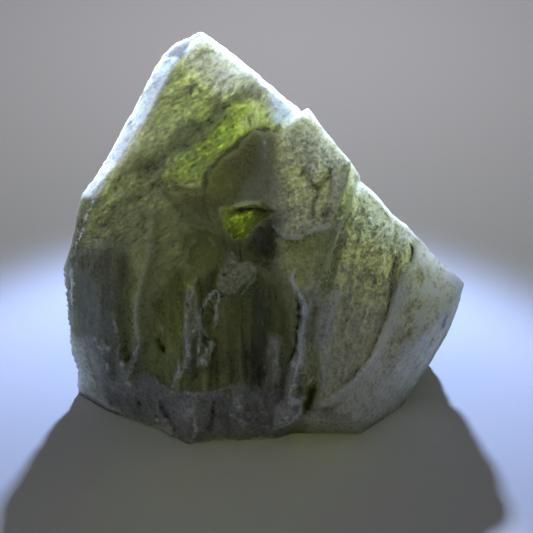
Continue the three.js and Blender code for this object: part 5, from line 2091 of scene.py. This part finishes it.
@dataclass(frozen=True)
class Lamp:
    """A lamp, sizes in metres.

    Attributes:
        name: Its name.
        kind: What kind of lamp it is.
        at: Where it is.
        aim: The point that it is aimed at.
        size: How wide it is.
        power: Its power in watts.
        colour: Its colour.
        half_angle: Half the angle of its beam, in degrees.
        softness: How softly its beam ends, from 0 to 1.
        apart: Whether it lights the stone alone and not the paper.
    """

    name: str
    kind: Kind
    at: Point3
    aim: Point3
    size: float
    power: float
    colour: Colour
    half_angle: float = 90.0
    softness: float = 0.5
    apart: bool = False

    def build(self, stone: bpy.types.Object) -> None:
        """Builds the lamp.

        Args:
            stone: The stone that it lights.
        """
        data = bpy.data.lights.new(self.name, self.kind.value)
        data.energy = self.power
        data.color = self.colour
        data.shadow_soft_size = self.size / 2
        if self.kind is Kind.BEAM:
            data.spot_size = math.radians(2 * self.half_angle)
            data.spot_blend = self.softness
        lamp = bpy.data.objects.new(self.name, data)
        lamp.location = self.at
        way = Vector(self.aim) - Vector(self.at)
        lamp.rotation_euler = way.to_track_quat("-Z", "Y").to_euler()
        lamp.visible_camera = False
        if self.apart:
            lit = bpy.data.collections.new(self.name)
            lit.objects.link(stone)
            lamp.light_linking.receiver_collection = lit
        bpy.context.scene.collection.objects.link(lamp)


BEHIND = (0.002, 0.060, 0.054)


@dataclass(frozen=True)
class Studio:
    """The light on the scene: a torch close behind the stone, a little above it, and a dim room.

    The torch has a bright core on the upper stone, a bluish ring on the paper around it and an
    even spill. Two weak lamps light the stone alone: its left edge, and its front from above.

    Attributes:
        room: The colour of the room's own light.
        lamps: The lamps.
    """

    room: Colour = (0.112, 0.112, 0.113)
    lamps: tuple[Lamp, ...] = (
        Lamp("torch core", Kind.BEAM, BEHIND, (0.0, 0.0, 0.0210), 0.007, 1.5,
             (0.72, 0.84, 1.0), 13, 0.6),
        Lamp("torch ring", Kind.BEAM, BEHIND, (-0.003, -0.034, 0.0), 0.007, 0.40,
             (0.40, 0.56, 1.0), 29.5, 0.4),
        Lamp("torch spill", Kind.BULB, BEHIND, (0.0, 0.0, 0.0), 0.007, 0.044,
             (1.0, 0.99, 1.0)),
        Lamp("edge light", Kind.BEAM, (-0.050, 0.045, 0.060), (-0.0104, 0.0028, 0.0240), 0.010,
             0.20, (0.80, 0.86, 1.0), 10, 0.5, apart=True),
        Lamp("top light", Kind.BULB, (-0.045, -0.005, 0.100), (0.0, 0.0, 0.013), 0.012, 0.055,
             (0.95, 0.97, 1.0), apart=True),
    )

    def build(self, stone: bpy.types.Object) -> None:
        """Builds the lamps and sets the look of the room.

        Args:
            stone: The stone that they light.
        """
        for lamp in self.lamps:
            lamp.build(stone)
        world = bpy.data.worlds.new("room")
        world.use_nodes = True
        background = world.node_tree.nodes["Background"]
        background.inputs["Color"].default_value = (*self.room, 1)
        bpy.context.scene.world = world
        bpy.context.scene.view_settings.view_transform = "Standard"


@dataclass(frozen=True)
class Eye:
    """The camera, which looks along +Y and down, from so far away that it sees almost no perspective.

    Attributes:
        sight: How it meets the stone.
        aim: The point in the middle of the picture, in metres.
        away: How far it is from that point.
        width: The width of the picture there.
        sensor: The width of its sensor, in millimetres.
    """

    sight: Sight
    aim: Point3 = (0.0001, -0.00068, 0.011995)
    away: float = 0.6
    width: float = 0.04264
    sensor: float = 36.0

    def build(self) -> bpy.types.Object:
        """Builds the camera and makes it the scene's.

        Returns:
            The camera.
        """
        data = bpy.data.cameras.new("eye")
        data.sensor_width = self.sensor
        data.lens = self.sensor * self.away / self.width
        data.clip_start = 0.01
        data.clip_end = 10
        camera = bpy.data.objects.new("eye", data)
        camera.location = Vector(self.aim) + self.away * Vector(self.sight.axes()[2])
        camera.rotation_euler = (math.radians(90 - self.sight.tilt), 0, 0)
        bpy.context.scene.collection.objects.link(camera)
        bpy.context.scene.camera = camera
        return camera


def note_sizes() -> None:
    """Brings the placements of the scene's objects up to date."""
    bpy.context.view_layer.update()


def main() -> None:
    """Builds the scene piece by piece."""
    logging.basicConfig(level=logging.INFO, format="%(name)s: %(message)s")
    sight = Sight()
    camera = Eye(sight).build()
    log.info("camera built: %s", camera.name)
    stone = Stone(sight, MoldaviteGlass()).build()
    log.info("piece built: %s", stone.name)
    sheet = Paper().build()
    log.info("stage built: %s", sheet.name)
    Studio().build(stone)
    log.info("lights built")
    note_sizes()


if __name__ == "__main__":
    main()
